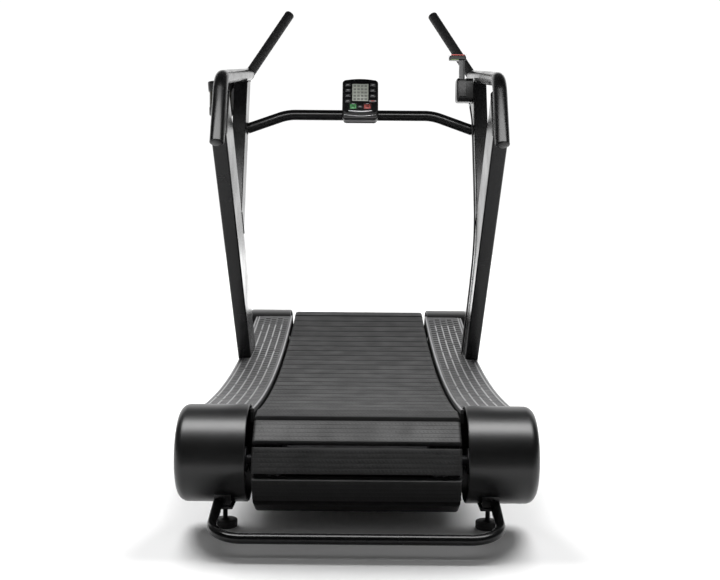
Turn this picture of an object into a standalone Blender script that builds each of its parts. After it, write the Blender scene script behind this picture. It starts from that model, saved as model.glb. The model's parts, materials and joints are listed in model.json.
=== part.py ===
"""Curved manual treadmill, in metres, +Z up.

The deck frame used below has Y = 0 at the belt's rearmost point, Z = 0 on the floor and X = 0 on the
belt's centre line. The root empty moves the whole model, so that the origin of the finished part lies
at the bottom centre of its bounding box.
"""

import math
from collections import namedtuple

import bmesh
import bpy
from mathutils import Vector

# Running belt: wide slats joined by two carrier belts, round two drums.
SLAT_COUNT = 56
SLATS_PER_TURN = 10
SLAT_LENGTH = 0.480
SLAT_WIDTH = 0.0596
SLAT_DEPTH = 0.0165
SLAT_END_ROUND = 0.009
FIRST_SLAT = 0.0439
CARRIER_X = (0.174, 0.206)
CARRIER_DEPTH = 0.004
CARRIER_BITE = 0.0008
CARRIER_FLAT = 0.012

# Deck: one concave arc, tangent to both drums.
REAR_DRUM = (0.118, 0.155)
FRONT_DRUM = (1.553, 0.281)
DECK_RADIUS = 4.58
BOTTOM_SAG = 0.025
AXLE_R = 0.0125
PULLEY_CLEAR = 0.0055
GAP = 0.0003

# Side structure.
BEAM_X = (0.290, 0.330)
BEAM_DROP = (0.001, 0.120)
BEAM_END_DROP = 0.038
UPRIGHT_X = (0.345, 0.386)
RAIL_PLANE = 0.5 * (UPRIGHT_X[0] + UPRIGHT_X[1])
COVER_X = (0.255, 0.420)
COVER_R = 0.1145
COVER_WALL = 0.0035
REAR_COVER = (REAR_DRUM[0] + 0.002, REAR_DRUM[1] + 0.0155)
FRONT_COVER = (FRONT_DRUM[0], FRONT_DRUM[1] + 0.013)
FOOT_X = 0.310
REAR_FOOT_Y = 0.093
FRONT_FOOT_Y = 1.390
STUD_R = 0.006
REAR_LEG_Y = (0.040, 0.120)
REAR_LEG_Z = 0.0625
FRONT_LEG_Z = 0.055
LIFT_TUBE_R = 0.0115
LIFT_REAR = -0.135
WHEEL_R = 0.035
WHEEL_AXIS = (1.500, 0.038)
WHEEL_X = 0.245

# Uprights and rails: lines in the Y-Z plane, each a point and an angle in degrees.
UPRIGHT_LINE = ((0.6906, 0.6815), -47.5)
UPRIGHT_HALF = 0.061
TUBE_WALL = 0.003
UPRIGHT_FOOT_Z = 0.200
STRUT_LINE = ((0.8064, 0.9282), 70.4)
STRUT_HALF = 0.039
HANDRAIL_R = 0.019
BEND_GAP = 0.002
HANDRAIL_LOW = (0.334, 0.9235)
HANDRAIL_BEND = (0.4115, 1.1015)
HANDRAIL_END = (1.050, 1.2120)
GRIP_R = 0.016
GRIP_TIP = (0.243, 1.200, 1.437)
BAR_R = 0.016
BAR_Y = 0.850
BAR_END_Z = 1.015
BAR_BEND_X = 0.222
BAR_BEND_R = 0.150
BAR_Z = 1.058
HOLDER_AXIS = (-0.4275, 0.860)
HOLDER_R = 0.039
HOLDER_LIP = 0.0015
HOLDER_Z = (1.053, 1.156)

# Resistance lever, its housing and the brake.
LEVER_PIVOT = (0.312, 0.870, 1.140)
HOUSING_X = (0.2945, 0.3447)
HOUSING_Z = (1.102, 1.174)
HOUSING_HALF_Y = 0.030
DISC_R = 0.072
DISC_X = (0.352, 0.358)
CARRIER_PIN = (1.598, 0.364)
CABLE_R = 0.0025

# Console, in its own frame: U along X, V up the face, W out of the face towards the user.
CONSOLE_TILT = math.radians(20)
CONSOLE_U = 0.055
CONSOLE_V = (-0.0225, 0.115)
CONSOLE_CORNER = 0.012
CONSOLE_BACK_W = -0.0185
CONSOLE_FACE_W = 0.022
KEY_RISE = 0.0012
KEY_SUNK = 0.0018
KEY_TRAVEL = 0.001
KEY_CLEAR = 0.0004
LENS_V = 0.0664
LENS_HALF = (0.0248, 0.0290)
COLUMN_U = 0.038
COLUMN_TOP_V = 0.0925
COLUMN_STEP = 0.0183
SIDE_KEY = (0.0085, 0.0052)
BIG_KEY = (0.0092, 0.0070)
MODE_KEY = (0.0070, 0.0040)
BOTTOM_KEYS_V = 0.0187
BIG_KEY_U = 0.0215

Belt = namedtuple("Belt", "pitch drum_r top_c top_r top_phi bottom_c bottom_r bottom_phi lengths")
FINISHES = {
    "slat_rubber": ((0.050, 0.050, 0.053), 0.75, 0.0),
    "powder_black": ((0.030, 0.030, 0.032), 0.45, 0.0),
    "cover_plastic": ((0.032, 0.032, 0.034), 0.35, 0.0),
    "rail_plastic": ((0.110, 0.110, 0.115), 0.60, 0.0),
    "grip_rubber": ((0.015, 0.015, 0.016), 0.80, 0.0),
    "steel": ((0.560, 0.570, 0.580), 0.30, 1.0),
    "aluminium": ((0.720, 0.730, 0.740), 0.35, 1.0),
    "zinc": ((0.450, 0.460, 0.470), 0.45, 1.0),
    "console_plastic": ((0.020, 0.020, 0.022), 0.40, 0.0),
    "lens": ((0.330, 0.360, 0.330), 0.10, 0.0),
    "key_grey": ((0.150, 0.150, 0.155), 0.50, 0.0),
    "key_green": ((0.050, 0.450, 0.150), 0.45, 0.0),
    "key_red": ((0.550, 0.040, 0.040), 0.45, 0.0),
    "lever_grey": ((0.130, 0.130, 0.130), 0.45, 0.0),
    "wheel_rubber": ((0.025, 0.025, 0.025), 0.70, 0.0),
}


# ---------------------------------------------------------------- plane geometry


def polar(centre, radius, phi):
    """A point at this radius, in the direction phi from +Z towards +Y."""
    return (centre[0] + radius * math.sin(phi), centre[1] + radius * math.cos(phi))


def shifted(line, distance):
    """The line moved to its left by this distance."""
    (y, z), degrees = line
    angle = math.radians(degrees)
    return ((y - distance * math.sin(angle), z + distance * math.cos(angle)), degrees)


def meet(first, second):
    """The point where two lines of the Y-Z plane cross."""
    (y1, z1), d1 = first
    (y2, z2), d2 = second
    a1, a2 = math.radians(d1), math.radians(d2)
    turn = math.sin(a2 - a1)
    t = ((y2 - y1) * math.sin(a2) - (z2 - z1) * math.cos(a2)) / turn
    return (y1 + t * math.cos(a1), z1 + t * math.sin(a1))


def line_through(first, second):
    return (first, math.degrees(math.atan2(second[1] - first[1], second[0] - first[0])))


def circle_outline(centre, radius, sides):
    return [polar(centre, radius, 2 * math.pi * i / sides) for i in range(sides)]


def rounded_rectangle(half_u, low_v, high_v, corner, steps=3, arch=0.0):
    """An outline with round corners, its top edge crowned by arch."""
    corners = ((half_u - corner, high_v - corner, 0), (-half_u + corner, high_v - corner, 90),
               (-half_u + corner, low_v + corner, 180), (half_u - corner, low_v + corner, 270))
    points = []
    for u, v, start in corners:
        for i in range(steps + 1):
            angle = math.radians(start + 90 * i / steps)
            points.append((u + corner * math.cos(angle), v + corner * math.sin(angle)))
        if start == 0 and arch:
            points.append((0.0, high_v + arch))
    return points


def deck_point(y, drop):
    """A point under (or, with a negative drop, over) the running surface, square to it."""
    theta = math.asin((y - BELT.top_c[0]) / DECK_RADIUS)
    radius = DECK_RADIUS + drop
    return (BELT.top_c[0] + radius * math.sin(theta), BELT.top_c[1] - radius * math.cos(theta))


def deck_arc(y0, y1, drop, steps):
    return [deck_point(y0 + (y1 - y0) * i / steps, drop) for i in range(steps + 1)]


# ---------------------------------------------------------------- the belt's path


def belt_path():
    """Solves the belt loop: the pitch that closes it round both drums with SLAT_COUNT slats."""
    dy = FRONT_DRUM[0] - REAR_DRUM[0]
    dz = FRONT_DRUM[1] - REAR_DRUM[1]
    chord = math.hypot(dy, dz)
    slope = math.atan2(dz, dy)
    sag_r = (chord * chord / 4 + BOTTOM_SAG * BOTTOM_SAG) / (2 * BOTTOM_SAG)
    sag_half = math.asin(chord / 2 / sag_r)
    drum_r = 0.1
    for _ in range(40):
        reach = DECK_RADIUS + SLAT_DEPTH + drum_r
        top_half = math.asin(chord / 2 / reach)
        wraps = 2 * (math.pi + top_half - sag_half)
        lengths = ((DECK_RADIUS + SLAT_DEPTH) * 2 * top_half, drum_r * wraps / 2,
                   (sag_r + drum_r) * 2 * sag_half, drum_r * wraps / 2)
        pitch = sum(lengths) / SLAT_COUNT
        drum_r = SLATS_PER_TURN * pitch / (2 * math.pi)
    middle = ((REAR_DRUM[0] + FRONT_DRUM[0]) / 2, (REAR_DRUM[1] + FRONT_DRUM[1]) / 2)
    top_c = polar(middle, reach * math.cos(top_half), -slope)
    bottom_c = polar(middle, sag_r * math.cos(sag_half), -slope)
    return Belt(pitch, drum_r, top_c, DECK_RADIUS + SLAT_DEPTH, (top_half - slope, -top_half - slope),
                bottom_c, sag_r + drum_r, (math.pi - slope - sag_half, math.pi - slope + sag_half), lengths)


def slat_place(distance):
    """Run, centre and outward direction phi of the slat this far round from the rear drum's crest."""
    top, front, bottom, _ = BELT.lengths
    if distance < top:
        phi = BELT.top_phi[0] - distance / BELT.top_r
        return "top", polar(BELT.top_c, -BELT.top_r, phi), phi
    if distance < top + front:
        phi = BELT.top_phi[1] + (distance - top) / BELT.drum_r
        return "front", polar(FRONT_DRUM, BELT.drum_r, phi), phi
    if distance < top + front + bottom:
        phi = BELT.bottom_phi[0] + (distance - top - front) / BELT.bottom_r
        return "bottom", polar(BELT.bottom_c, BELT.bottom_r, phi), phi
    phi = BELT.bottom_phi[1] + (distance - top - front - bottom) / BELT.drum_r
    return "rear", polar(REAR_DRUM, BELT.drum_r, phi), phi


def centring():
    """The move that puts the bounding box's bottom centre on the origin."""
    top, front, _, _ = BELT.lengths
    travel = [FIRST_SLAT + i * BELT.pitch for i in range(SLAT_COUNT)]
    ahead = [slat_place(s) for s in travel if top < s < top + front]
    belt_front = max(centre[0] + SLAT_DEPTH * math.sin(phi) + 0.5 * SLAT_WIDTH * abs(math.cos(phi))
                     for _, centre, phi in ahead)
    x_ends = (HOLDER_AXIS[0] - HOLDER_R - HOLDER_LIP, COVER_X[1])
    y_ends = (LIFT_REAR - LIFT_TUBE_R, belt_front)
    return Vector((-sum(x_ends) / 2, -sum(y_ends) / 2, 0.0))


BELT = belt_path()
SHIFT = centring()
MATERIALS = {}


# ---------------------------------------------------------------- mesh building


def loft(rings, bm=None):
    """A closed solid through rings of points, each ring with the same number of points."""
    bm = bm or bmesh.new()
    made = [[bm.verts.new(point) for point in ring] for ring in rings]
    count = len(rings[0])
    faces = [bm.faces.new(made[0]), bm.faces.new(made[-1])]
    for low, high in zip(made, made[1:]):
        for i in range(count):
            j = (i + 1) % count
            faces.append(bm.faces.new((low[i], low[j], high[j], high[i])))
    bmesh.ops.recalc_face_normals(bm, faces=faces)
    turn_outwards(bm, faces)
    return bm


def turn_outwards(bm, faces):
    """Flips the faces of one closed shape if they point into it."""
    volume = 0.0
    for face in faces:
        first = face.verts[0].co
        for before, after in zip(face.verts[1:-1], face.verts[2:]):
            volume += first.dot(before.co.cross(after.co))
    if volume < 0:
        bmesh.ops.reverse_faces(bm, faces=faces)


def prism(outline, x0, x1, bm=None):
    """The Y-Z outline, extruded along X."""
    return loft([[(x, y, z) for y, z in outline] for x in (x0, x1)], bm)


def box(low, high, bm=None):
    outline = [(low[1], low[2]), (high[1], low[2]), (high[1], high[2]), (low[1], high[2])]
    return prism(outline, low[0], high[0], bm)


def standing(outline, z0, z1, bm=None):
    """The X-Y outline, extruded along Z."""
    return loft([[(x, y, z) for x, y in outline] for z in (z0, z1)], bm)


def turned(profile, centre, sides=28, closed=False):
    """A profile of (x, radius) turned about the X axis through centre; closed makes a ring."""
    rings = [[(x, *polar(centre, r, 2 * math.pi * i / sides)) for i in range(sides)] for x, r in profile]
    if not closed:
        return loft(rings)
    bm = bmesh.new()
    made = [[bm.verts.new(point) for point in ring] for ring in rings]
    for low, high in zip(made, made[1:] + made[:1]):
        for i in range(sides):
            j = (i + 1) % sides
            bm.faces.new((low[i], low[j], high[j], high[i]))
    bmesh.ops.recalc_face_normals(bm, faces=bm.faces)
    turn_outwards(bm, list(bm.faces))
    return bm


def upright_turned(profile, x, y, sides=20, closed=False):
    """A profile of (z, radius) turned about the vertical through x, y."""
    bm = turned(profile, (0.0, 0.0), sides, closed)
    for vert in bm.verts:
        height, across, along = vert.co
        vert.co = (x + across, y + along, height)
    return bm


def filleted(points, radius, steps=5):
    """The corners of a path rounded by arcs."""
    points = [Vector(point) for point in points]
    path = [points[0]]
    for before, corner, after in zip(points, points[1:], points[2:]):
        into = (before - corner).normalized()
        out = (after - corner).normalized()
        half = into.angle(out) / 2
        reach = radius / math.tan(half)
        centre = corner + (into + out).normalized() * (radius / math.sin(half))
        start = corner + into * reach - centre
        end = corner + out * reach - centre
        sweep = start.angle(end)
        for i in range(steps + 1):
            t = i / steps
            mixed = start * math.sin((1 - t) * sweep) + end * math.sin(t * sweep)
            path.append(centre + mixed / math.sin(sweep))
    return path + [points[-1]]


def smooth_path(points, steps=3):
    """A smooth curve through the points."""
    points = [Vector(point) for point in points]
    ends = [2 * points[0] - points[1]] + points + [2 * points[-1] - points[-2]]
    path = []
    for a, b, c, d in zip(ends, ends[1:], ends[2:], ends[3:]):
        for i in range(steps):
            t = i / steps
            cubic = -a + 3 * b - 3 * c + d
            square = 2 * a - 5 * b + 4 * c - d
            path.append(0.5 * (2 * b + (c - a) * t + square * t * t + cubic * t * t * t))
    return path + [points[-1]]


def tube(path, radius, sides=12, bm=None):
    """A round bar along a path of points."""
    path = [Vector(point) for point in path]
    side = (path[1] - path[0]).orthogonal().normalized()
    rings = []
    for i, point in enumerate(path):
        before = path[max(i - 1, 0)]
        after = path[min(i + 1, len(path) - 1)]
        into = (point - before).normalized() if i else (after - point).normalized()
        out = (after - point).normalized() if after != point else into
        along = (into + out).normalized()
        side = (side - along * side.dot(along)).normalized()
        other = along.cross(side)
        angles = [2 * math.pi * k / sides for k in range(sides)]
        rings.append([point + (side * math.cos(a) + other * math.sin(a)) * radius for a in angles])
    return loft(rings, bm)


def material(slot):
    if slot not in MATERIALS:
        colour, roughness, metallic = FINISHES[slot]
        made = bpy.data.materials.new(slot)
        made.use_nodes = True
        shader = made.node_tree.nodes["Principled BSDF"]
        shader.inputs["Base Color"].default_value = (*colour, 1.0)
        shader.inputs["Roughness"].default_value = roughness
        shader.inputs["Metallic"].default_value = metallic
        MATERIALS[slot] = made
    return MATERIALS[slot]


def place(name, bm, slot, pivot=(0.0, 0.0, 0.0)):
    """One named object of the part, with its origin on its pivot."""
    pivot = Vector(pivot)
    bmesh.ops.translate(bm, verts=bm.verts, vec=-pivot)
    mesh = bpy.data.meshes.new(name)
    bm.to_mesh(mesh)
    bm.free()
    mesh.shade_smooth()
    mesh.set_sharp_from_angle(angle=math.radians(35))
    mesh.materials.append(material(slot))
    made = bpy.data.objects.new(name, mesh)
    made.location = pivot
    made.parent = ROOT
    bpy.context.scene.collection.objects.link(made)
    return made


def boolean(target, bm, operation):
    """Joins a shape to an object, or cuts it out; the shape itself stays as a hidden guide."""
    guide = place(f"{target.name}_{operation.lower()}", bm, "steel")
    guide.hide_render = True
    guide.display_type = "WIRE"
    modifier = target.modifiers.new(operation.lower(), "BOOLEAN")
    modifier.operation = operation
    modifier.solver = "EXACT"
    modifier.object = guide


def cut(target, bm):
    boolean(target, bm, "DIFFERENCE")


def join(target, bm):
    boolean(target, bm, "UNION")


def each_side():
    return (("left", -1), ("right", 1))


def mirrored(span, side):
    """An X span on the named side of the centre plane, low end first."""
    return sorted((side * span[0], side * span[1]))


# ---------------------------------------------------------------- belt, drums, tracks


def slat_section(centre, phi, corners):
    """Points (x, t, n) of a slat's own frame, with T along the belt and N outwards, in the deck frame."""
    along = (math.cos(phi), -math.sin(phi))
    out = (math.sin(phi), math.cos(phi))
    return [(x, centre[0] + t * along[0] + n * out[0], centre[1] + t * along[1] + n * out[1])
            for x, t, n in corners]


def slat(bm, centre, phi):
    """One slat: a flat bar whose outer face drops away at both ends."""
    half, wide = SLAT_LENGTH / 2, SLAT_WIDTH / 2
    ends = ((half, 0.6 * SLAT_END_ROUND), (half - SLAT_END_ROUND, 0.0))
    rings = []
    for x, low in [(-x, low) for x, low in ends] + [(x, low) for x, low in reversed(ends)]:
        top = SLAT_DEPTH - low
        corners = [(x, -wide, 0.0), (x, -wide, top), (x, wide, top), (x, wide, 0.0)]
        rings.append(slat_section(centre, phi, corners))
    loft(rings, bm)


def carrier_ring(centre, phi, t, x0, x1):
    low, high = -CARRIER_DEPTH, CARRIER_BITE
    return slat_section(centre, phi, [(x0, t, low), (x1, t, low), (x1, t, high), (x0, t, high)])


def belt_runs():
    """The belt in four lengths: along the deck, round each drum, and under the deck."""
    pivots = {"top": BELT.top_c, "front": FRONT_DRUM, "bottom": REAR_DRUM, "rear": REAR_DRUM}
    names = {"top": "belt_top_run", "front": "belt_front_turn", "bottom": "belt_bottom_run",
             "rear": "belt_rear_turn"}
    places = [slat_place(FIRST_SLAT + i * BELT.pitch) for i in range(SLAT_COUNT)]
    for run, name in names.items():
        bars, under = bmesh.new(), bmesh.new()
        own = [(centre, phi) for which, centre, phi in places if which == run]
        for centre, phi in own:
            slat(bars, centre, phi)
        for _, side in each_side():
            x0, x1 = mirrored(CARRIER_X, side)
            loft([carrier_ring(centre, phi, t, x0, x1)
                  for centre, phi in own for t in (-CARRIER_FLAT, CARRIER_FLAT)], under)
        made = place(name, bars, "slat_rubber", (0.0, *pivots[run]))
        join(made, under)


def drum(name, centre, axle_ends):
    """An axle with two pulleys on a common tube, turned in one piece."""
    pulley = BELT.drum_r - PULLEY_CLEAR
    x0, x1 = CARRIER_X
    half = [(x0 - 0.008, 0.045), (x0 - 0.002, pulley), (x1 + 0.002, pulley), (x1 + 0.008, 0.022)]
    profile = [(axle_ends[0], AXLE_R), (-x1 - 0.008, AXLE_R)]
    profile += [(-x, r) for x, r in reversed(half)] + half
    profile += [(x1 + 0.008, AXLE_R), (axle_ends[1], AXLE_R)]
    return place(name, turned(profile, centre, 24), "steel", (0.0, *centre))


def bearing(name, side, centre):
    x0, x1 = mirrored((0.262, BEAM_X[0] - GAP), side)
    bore = AXLE_R + GAP
    profile = [(x0, bore), (x1, bore), (x1, 0.034), (x0, 0.030)]
    if side < 0:
        profile = [(x0, bore), (x1, bore), (x1, 0.030), (x0, 0.034)]
    place(name, turned(profile, centre, 16, closed=True), "zinc", (0.0, *centre))


def drums():
    drum("rear_drum", REAR_DRUM, (-0.284, 0.284))
    drum("front_drum", FRONT_DRUM, (-0.356, 0.364))
    for label, side in each_side():
        bearing(f"rear_bearing_{label}", side, REAR_DRUM)
        bearing(f"front_bearing_{label}", side, FRONT_DRUM)


def roller_tracks():
    """Curved bars under the slats' ends, each with its row of small rollers on top."""
    rollers, roller_r, y0, y1 = 18, 0.012, 0.260, 1.400
    for label, side in each_side():
        outline = []
        for i in range(rollers):
            y = y0 + (y1 - y0) * (i + 0.5) / rollers
            for k in range(5):
                turn = math.radians(-75 + 150 * k / 4)
                centre = deck_point(y, SLAT_DEPTH + 0.0005 + roller_r)
                outline.append(polar(centre, roller_r, turn))
        outline += reversed(deck_arc(y0, y1, SLAT_DEPTH + 0.055, 8))
        x0, x1 = mirrored((0.212, 0.228), side)
        place(f"roller_track_{label}", prism(outline, x0, x1), "zinc")


# ---------------------------------------------------------------- frame


def side_beams():
    """Curved side beams on legs, holed for the axle and feet; the right one has the brake's stud."""
    rear_in, front_in = 0.210, 1.440
    top, low = BEAM_DROP
    leg_rear, leg_front = REAR_LEG_Y
    outline = [(leg_rear, REAR_LEG_Z), (leg_rear, 0.200), deck_point(0.050, BEAM_END_DROP)]
    outline += [deck_point(rear_in, BEAM_END_DROP)] + deck_arc(rear_in, front_in, top, 12)
    outline += [deck_point(front_in, BEAM_END_DROP), deck_point(1.600, BEAM_END_DROP), deck_point(1.600, low)]
    outline += [deck_point(1.420, low), (1.420, FRONT_LEG_Z), (1.360, FRONT_LEG_Z)]
    outline += deck_arc(1.345, 0.140, low, 8) + [(leg_front, 0.130), (leg_front, REAR_LEG_Z)]
    for label, side in each_side():
        beam = place(f"side_beam_{label}", prism(outline, side * BEAM_X[0], side * BEAM_X[1]), "powder_black")
        cut(beam, prism(circle_outline(FRONT_DRUM, AXLE_R + 0.003, 20), side * 0.28, side * 0.34))
        if side > 0:
            join(beam, turned([(BEAM_X[1] - 0.01, 0.008), (0.338, 0.008), (0.338, 0.005), (0.372, 0.005)],
                              CARRIER_PIN, 14))
        for y, base in ((REAR_FOOT_Y, REAR_LEG_Z), (FRONT_FOOT_Y, FRONT_LEG_Z)):
            cut(beam, stud_hole(side, y, base - 0.01, base + 0.035))


def stud_hole(side, y, z0, z1):
    """The clearance hole round a levelling foot's stud."""
    radius = STUD_R + 0.0008
    turns = [math.pi * k / 5 for k in range(10)]
    return standing([(side * FOOT_X + radius * math.cos(a), y + radius * math.sin(a)) for a in turns], z0, z1)


def cross_members():
    """Square tubes inside the belt loop, bolted between the side beams."""
    half = BEAM_X[0] - GAP
    for name, y, z0, z1 in (("cross_member_rear", 0.370, 0.120, 0.186),
                            ("cross_member_middle", 0.800, 0.130, 0.190),
                            ("cross_member_front", 1.230, 0.190, 0.250)):
        made = place(name, box((-half, y - 0.022, z0), (half, y + 0.022, z1)), "powder_black")
        cut(made, box((-half - 0.01, y - 0.019, z0 + 0.003), (half + 0.01, y + 0.019, z1 - 0.003)))


def front_stand():
    """The cross tube between the front legs, with a fork and pin for each transport wheel."""
    half = BEAM_X[0] - GAP
    stand = place("front_stand", box((-half, 1.368, 0.060), (half, 1.408, 0.105)), "powder_black")
    forks = bmesh.new()
    outline = [(1.404, 0.064), (1.404, 0.101), (1.500, 0.055), (1.517, 0.038), (1.500, 0.021), (1.470, 0.028)]
    for _, side in each_side():
        for x0, x1 in ((0.221, 0.226), (0.264, 0.269)):
            prism(outline, side * x0, side * x1, forks)
    join(stand, forks)
    pins = bmesh.new()
    for _, side in each_side():
        prism(circle_outline(WHEEL_AXIS, 0.006, 14), side * 0.223, side * 0.267, pins)
    join(stand, pins)


def transport_wheels():
    profile = [(-0.015, 0.0064), (0.015, 0.0064), (0.015, 0.031), (0.012, WHEEL_R), (-0.012, WHEEL_R),
               (-0.015, 0.031)]
    for label, side in each_side():
        spot = [(side * WHEEL_X + x, r) for x, r in profile]
        place(f"transport_wheel_{label}", turned(spot, WHEEL_AXIS, 20, closed=True), "wheel_rubber",
              (side * WHEEL_X, *WHEEL_AXIS))


def feet():
    """Levelling feet: a pad, its stud and a lock nut close under the leg, turned in one piece."""
    for end, y, top in (("rear", REAR_FOOT_Y, 0.090), ("front", FRONT_FOOT_Y, 0.080)):
        profile = [(0.0, 0.0270), (0.002, 0.0285), (0.016, 0.0285), (0.018, 0.0265), (0.0185, 0.0080),
                   (0.0220, STUD_R), (0.046, STUD_R), (0.046, 0.0100), (0.053, 0.0100), (0.053, STUD_R),
                   (top, STUD_R)]
        for label, side in each_side():
            x = side * FOOT_X
            place(f"{end}_foot_{label}", upright_turned(profile, x, y, 12), "wheel_rubber", (x, y, 0.0))


def rear_lift_handle():
    """The tube loop behind the deck, falling away from the plate under each rear leg."""
    end_x, corner_x, low, rise, plate_rear = 0.320, 0.316, 0.040, 0.0295, 0.032
    end_y = REAR_LEG_Y[0] - 0.0024
    path = filleted([(end_x, end_y, low + rise), (corner_x, LIFT_REAR, low),
                     (-corner_x, LIFT_REAR, low), (-end_x, end_y, low + rise)], 0.075, 6)
    handle = place("rear_lift_handle", tube(path, LIFT_TUBE_R, 10), "powder_black")
    plates = bmesh.new()
    for _, side in each_side():
        x0, x1 = mirrored((0.285, 0.334), side)
        box((x0, plate_rear, 0.0565), (x1, REAR_LEG_Y[1], REAR_LEG_Z - GAP), plates)
    join(handle, plates)
    for _, side in each_side():
        cut(handle, stud_hole(side, REAR_FOOT_Y, 0.050, 0.070))


def foot_rails():
    """The patterned side rails: a thin channel swept along the deck, cut back at covers and uprights."""
    lip, plate, thick, skirt = 0.006, 0.004, 0.004, -0.052
    section = [(0.250, -0.030), (0.250, lip), (0.256, lip), (0.257, plate), (0.356, plate), (0.366, 0.002),
               (0.374, -0.006), (0.378, -0.016), (0.378, skirt), (0.374, skirt), (0.374, -0.017),
               (0.370, -0.009), (0.364, -0.003), (0.356, plate - thick), (0.254, plate - thick),
               (0.254, -0.030)]
    y0, y1, steps = 0.1325, 1.500, 16
    for label, side in each_side():
        rings = []
        for i in range(steps + 1):
            y = y0 + (y1 - y0) * i / steps
            rings.append([(side * x, *deck_point(y, -rise)) for x, rise in section])
        rail = place(f"foot_rail_{label}", loft(rings), "rail_plastic")
        x0, x1 = mirrored((0.240, 0.390), side)
        for centre in (REAR_COVER, FRONT_COVER):
            cut(rail, prism(circle_outline(centre, COVER_R + 0.0005, 48), x0, x1))
        cut(rail, prism(upright_outline(0.005), side * 0.336, side * 0.400))


def cover(name, side, centre, slots):
    """A round end cover: a hollow cup open towards the belt, slotted for the beam and its leg."""
    x0, x1 = COVER_X
    wall, fillet = COVER_WALL, 0.024
    outer = [(x0, COVER_R - 0.002), (x0 + 0.002, COVER_R)]
    inner = []
    for k in range(4):
        angle = math.radians(90 - 90 * k / 3)
        outer.append((x1 - fillet + fillet * math.cos(angle), COVER_R - fillet + fillet * math.sin(angle)))
        inner.append((x1 - fillet + (fillet - wall) * math.cos(angle),
                      COVER_R - fillet + (fillet - wall) * math.sin(angle)))
    profile = outer + [(x1, 0.0004), (x1 - wall, 0.0004)] + inner[::-1] + [(x0, COVER_R - wall)]
    profile = [(side * x, r) for x, r in profile]
    made = place(name, turned(profile, centre, 30, closed=True), "cover_plastic")
    join(made, turned([(side * (x1 - wall + 0.0005), 0.003), (side * (x1 - 0.0005), 0.003)], centre, 12))
    for low, high in slots:
        bm = box((side * 0.250, *low), (side * 0.343, *high))
        cut(made, bm)


def covers():
    rear = [((0.165, 0.095), (0.260, 0.245)), ((0.005, 0.020), (0.125, 0.125))]
    front = [((1.400, 0.225), (1.500, 0.345))]
    for label, side in each_side():
        cover(f"rear_cover_{label}", side, REAR_COVER, rear)
        cover(f"front_cover_{label}", side, FRONT_COVER, front)


# ---------------------------------------------------------------- uprights and rails


def handrail_legs():
    lower = line_through(HANDRAIL_LOW, HANDRAIL_BEND)
    upper = line_through(HANDRAIL_BEND, HANDRAIL_END)
    return lower, upper


def upright_outline(grow=0.0):
    """The raked upright from the beam's side up to the handrail, seen from the side."""
    rear = shifted(UPRIGHT_LINE, -UPRIGHT_HALF - grow)
    front = shifted(UPRIGHT_LINE, UPRIGHT_HALF + grow)
    foot = ((0.0, UPRIGHT_FOOT_Z), 0.0)
    top = shifted(handrail_legs()[0], -HANDRAIL_R - BEND_GAP)
    return [meet(rear, foot), meet(front, foot), meet(front, top), meet(rear, top)]


def strut_outline():
    """The strut from the upright's front face up to the handrail, seen from the side."""
    rear = shifted(STRUT_LINE, STRUT_HALF)
    front = shifted(STRUT_LINE, -STRUT_HALF)
    foot = shifted(UPRIGHT_LINE, UPRIGHT_HALF + GAP)
    top = shifted(handrail_legs()[1], -HANDRAIL_R - GAP)
    return [meet(rear, foot), meet(front, foot), meet(front, top), meet(rear, top)]


def bored(outline, wall):
    """The space inside a bar of this outline: its long sides moved in, run out through its lower end."""
    inner = [Vector(inset_corner(outline, i, wall)) for i in range(4)]
    rear_down = (inner[0] - inner[3]).normalized()
    front_down = (inner[1] - inner[2]).normalized()
    past_the_end = 0.05
    foot = [inner[0] + rear_down * past_the_end, inner[1] + front_down * past_the_end]
    head = [inner[2] + front_down * wall, inner[3] + rear_down * wall]
    return [tuple(point) for point in foot + head]


def softened(name, outline, side, edge):
    """A rectangular tube between the upright planes, with eased long edges, open at its lower end."""
    middle = Vector((sum(y for y, _ in outline) / 4, sum(z for _, z in outline) / 4))
    x0, x1 = UPRIGHT_X
    rings = []
    for x, inset in ((x0, edge), (x0 + edge, 0.0), (x1 - edge, 0.0), (x1, edge)):
        rings.append([(side * x, *inset_corner(outline, i, inset)) for i in range(4)])
    made = place(name, loft(rings), "powder_black", (side * RAIL_PLANE, *middle))
    cut(made, prism(bored(outline, TUBE_WALL), side * (x0 + TUBE_WALL), side * (x1 - TUBE_WALL)))
    return made


def inset_corner(outline, index, inset):
    """A corner of a bar's outline with its two long sides (0-3 and 1-2) moved inwards."""
    partner = {0: 3, 3: 0, 1: 2, 2: 1}[index]
    across = {0: 1, 1: 0, 2: 3, 3: 2}[index]
    here = Vector(outline[index])
    over = (Vector(outline[across]) - here).normalized()
    along = (Vector(outline[partner]) - here).normalized()
    sine = abs(over.x * along.y - over.y * along.x)
    return tuple(here + over * (inset / sine))


def uprights():
    for label, side in each_side():
        upright = softened(f"rear_upright_{label}", upright_outline(), side, 0.003)
        x0, x1 = mirrored((BEAM_X[1] + GAP, UPRIGHT_X[0] + 0.004), side)
        join(upright, prism([(1.080, 0.205), (1.190, 0.205), (1.150, 0.250), (1.050, 0.250)], x0, x1))
        softened(f"front_strut_{label}", strut_outline(), side, 0.003)


def handrails():
    """The bent top rails, each closed at its low end."""
    for label, side in each_side():
        x = side * RAIL_PLANE
        points = [(x, *HANDRAIL_LOW), (x, *HANDRAIL_BEND), (x, *HANDRAIL_END)]
        rail = tube(filleted(points, 0.075, 6), HANDRAIL_R, 12)
        place(f"handrail_{label}", rail, "powder_black", points[0])


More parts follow.
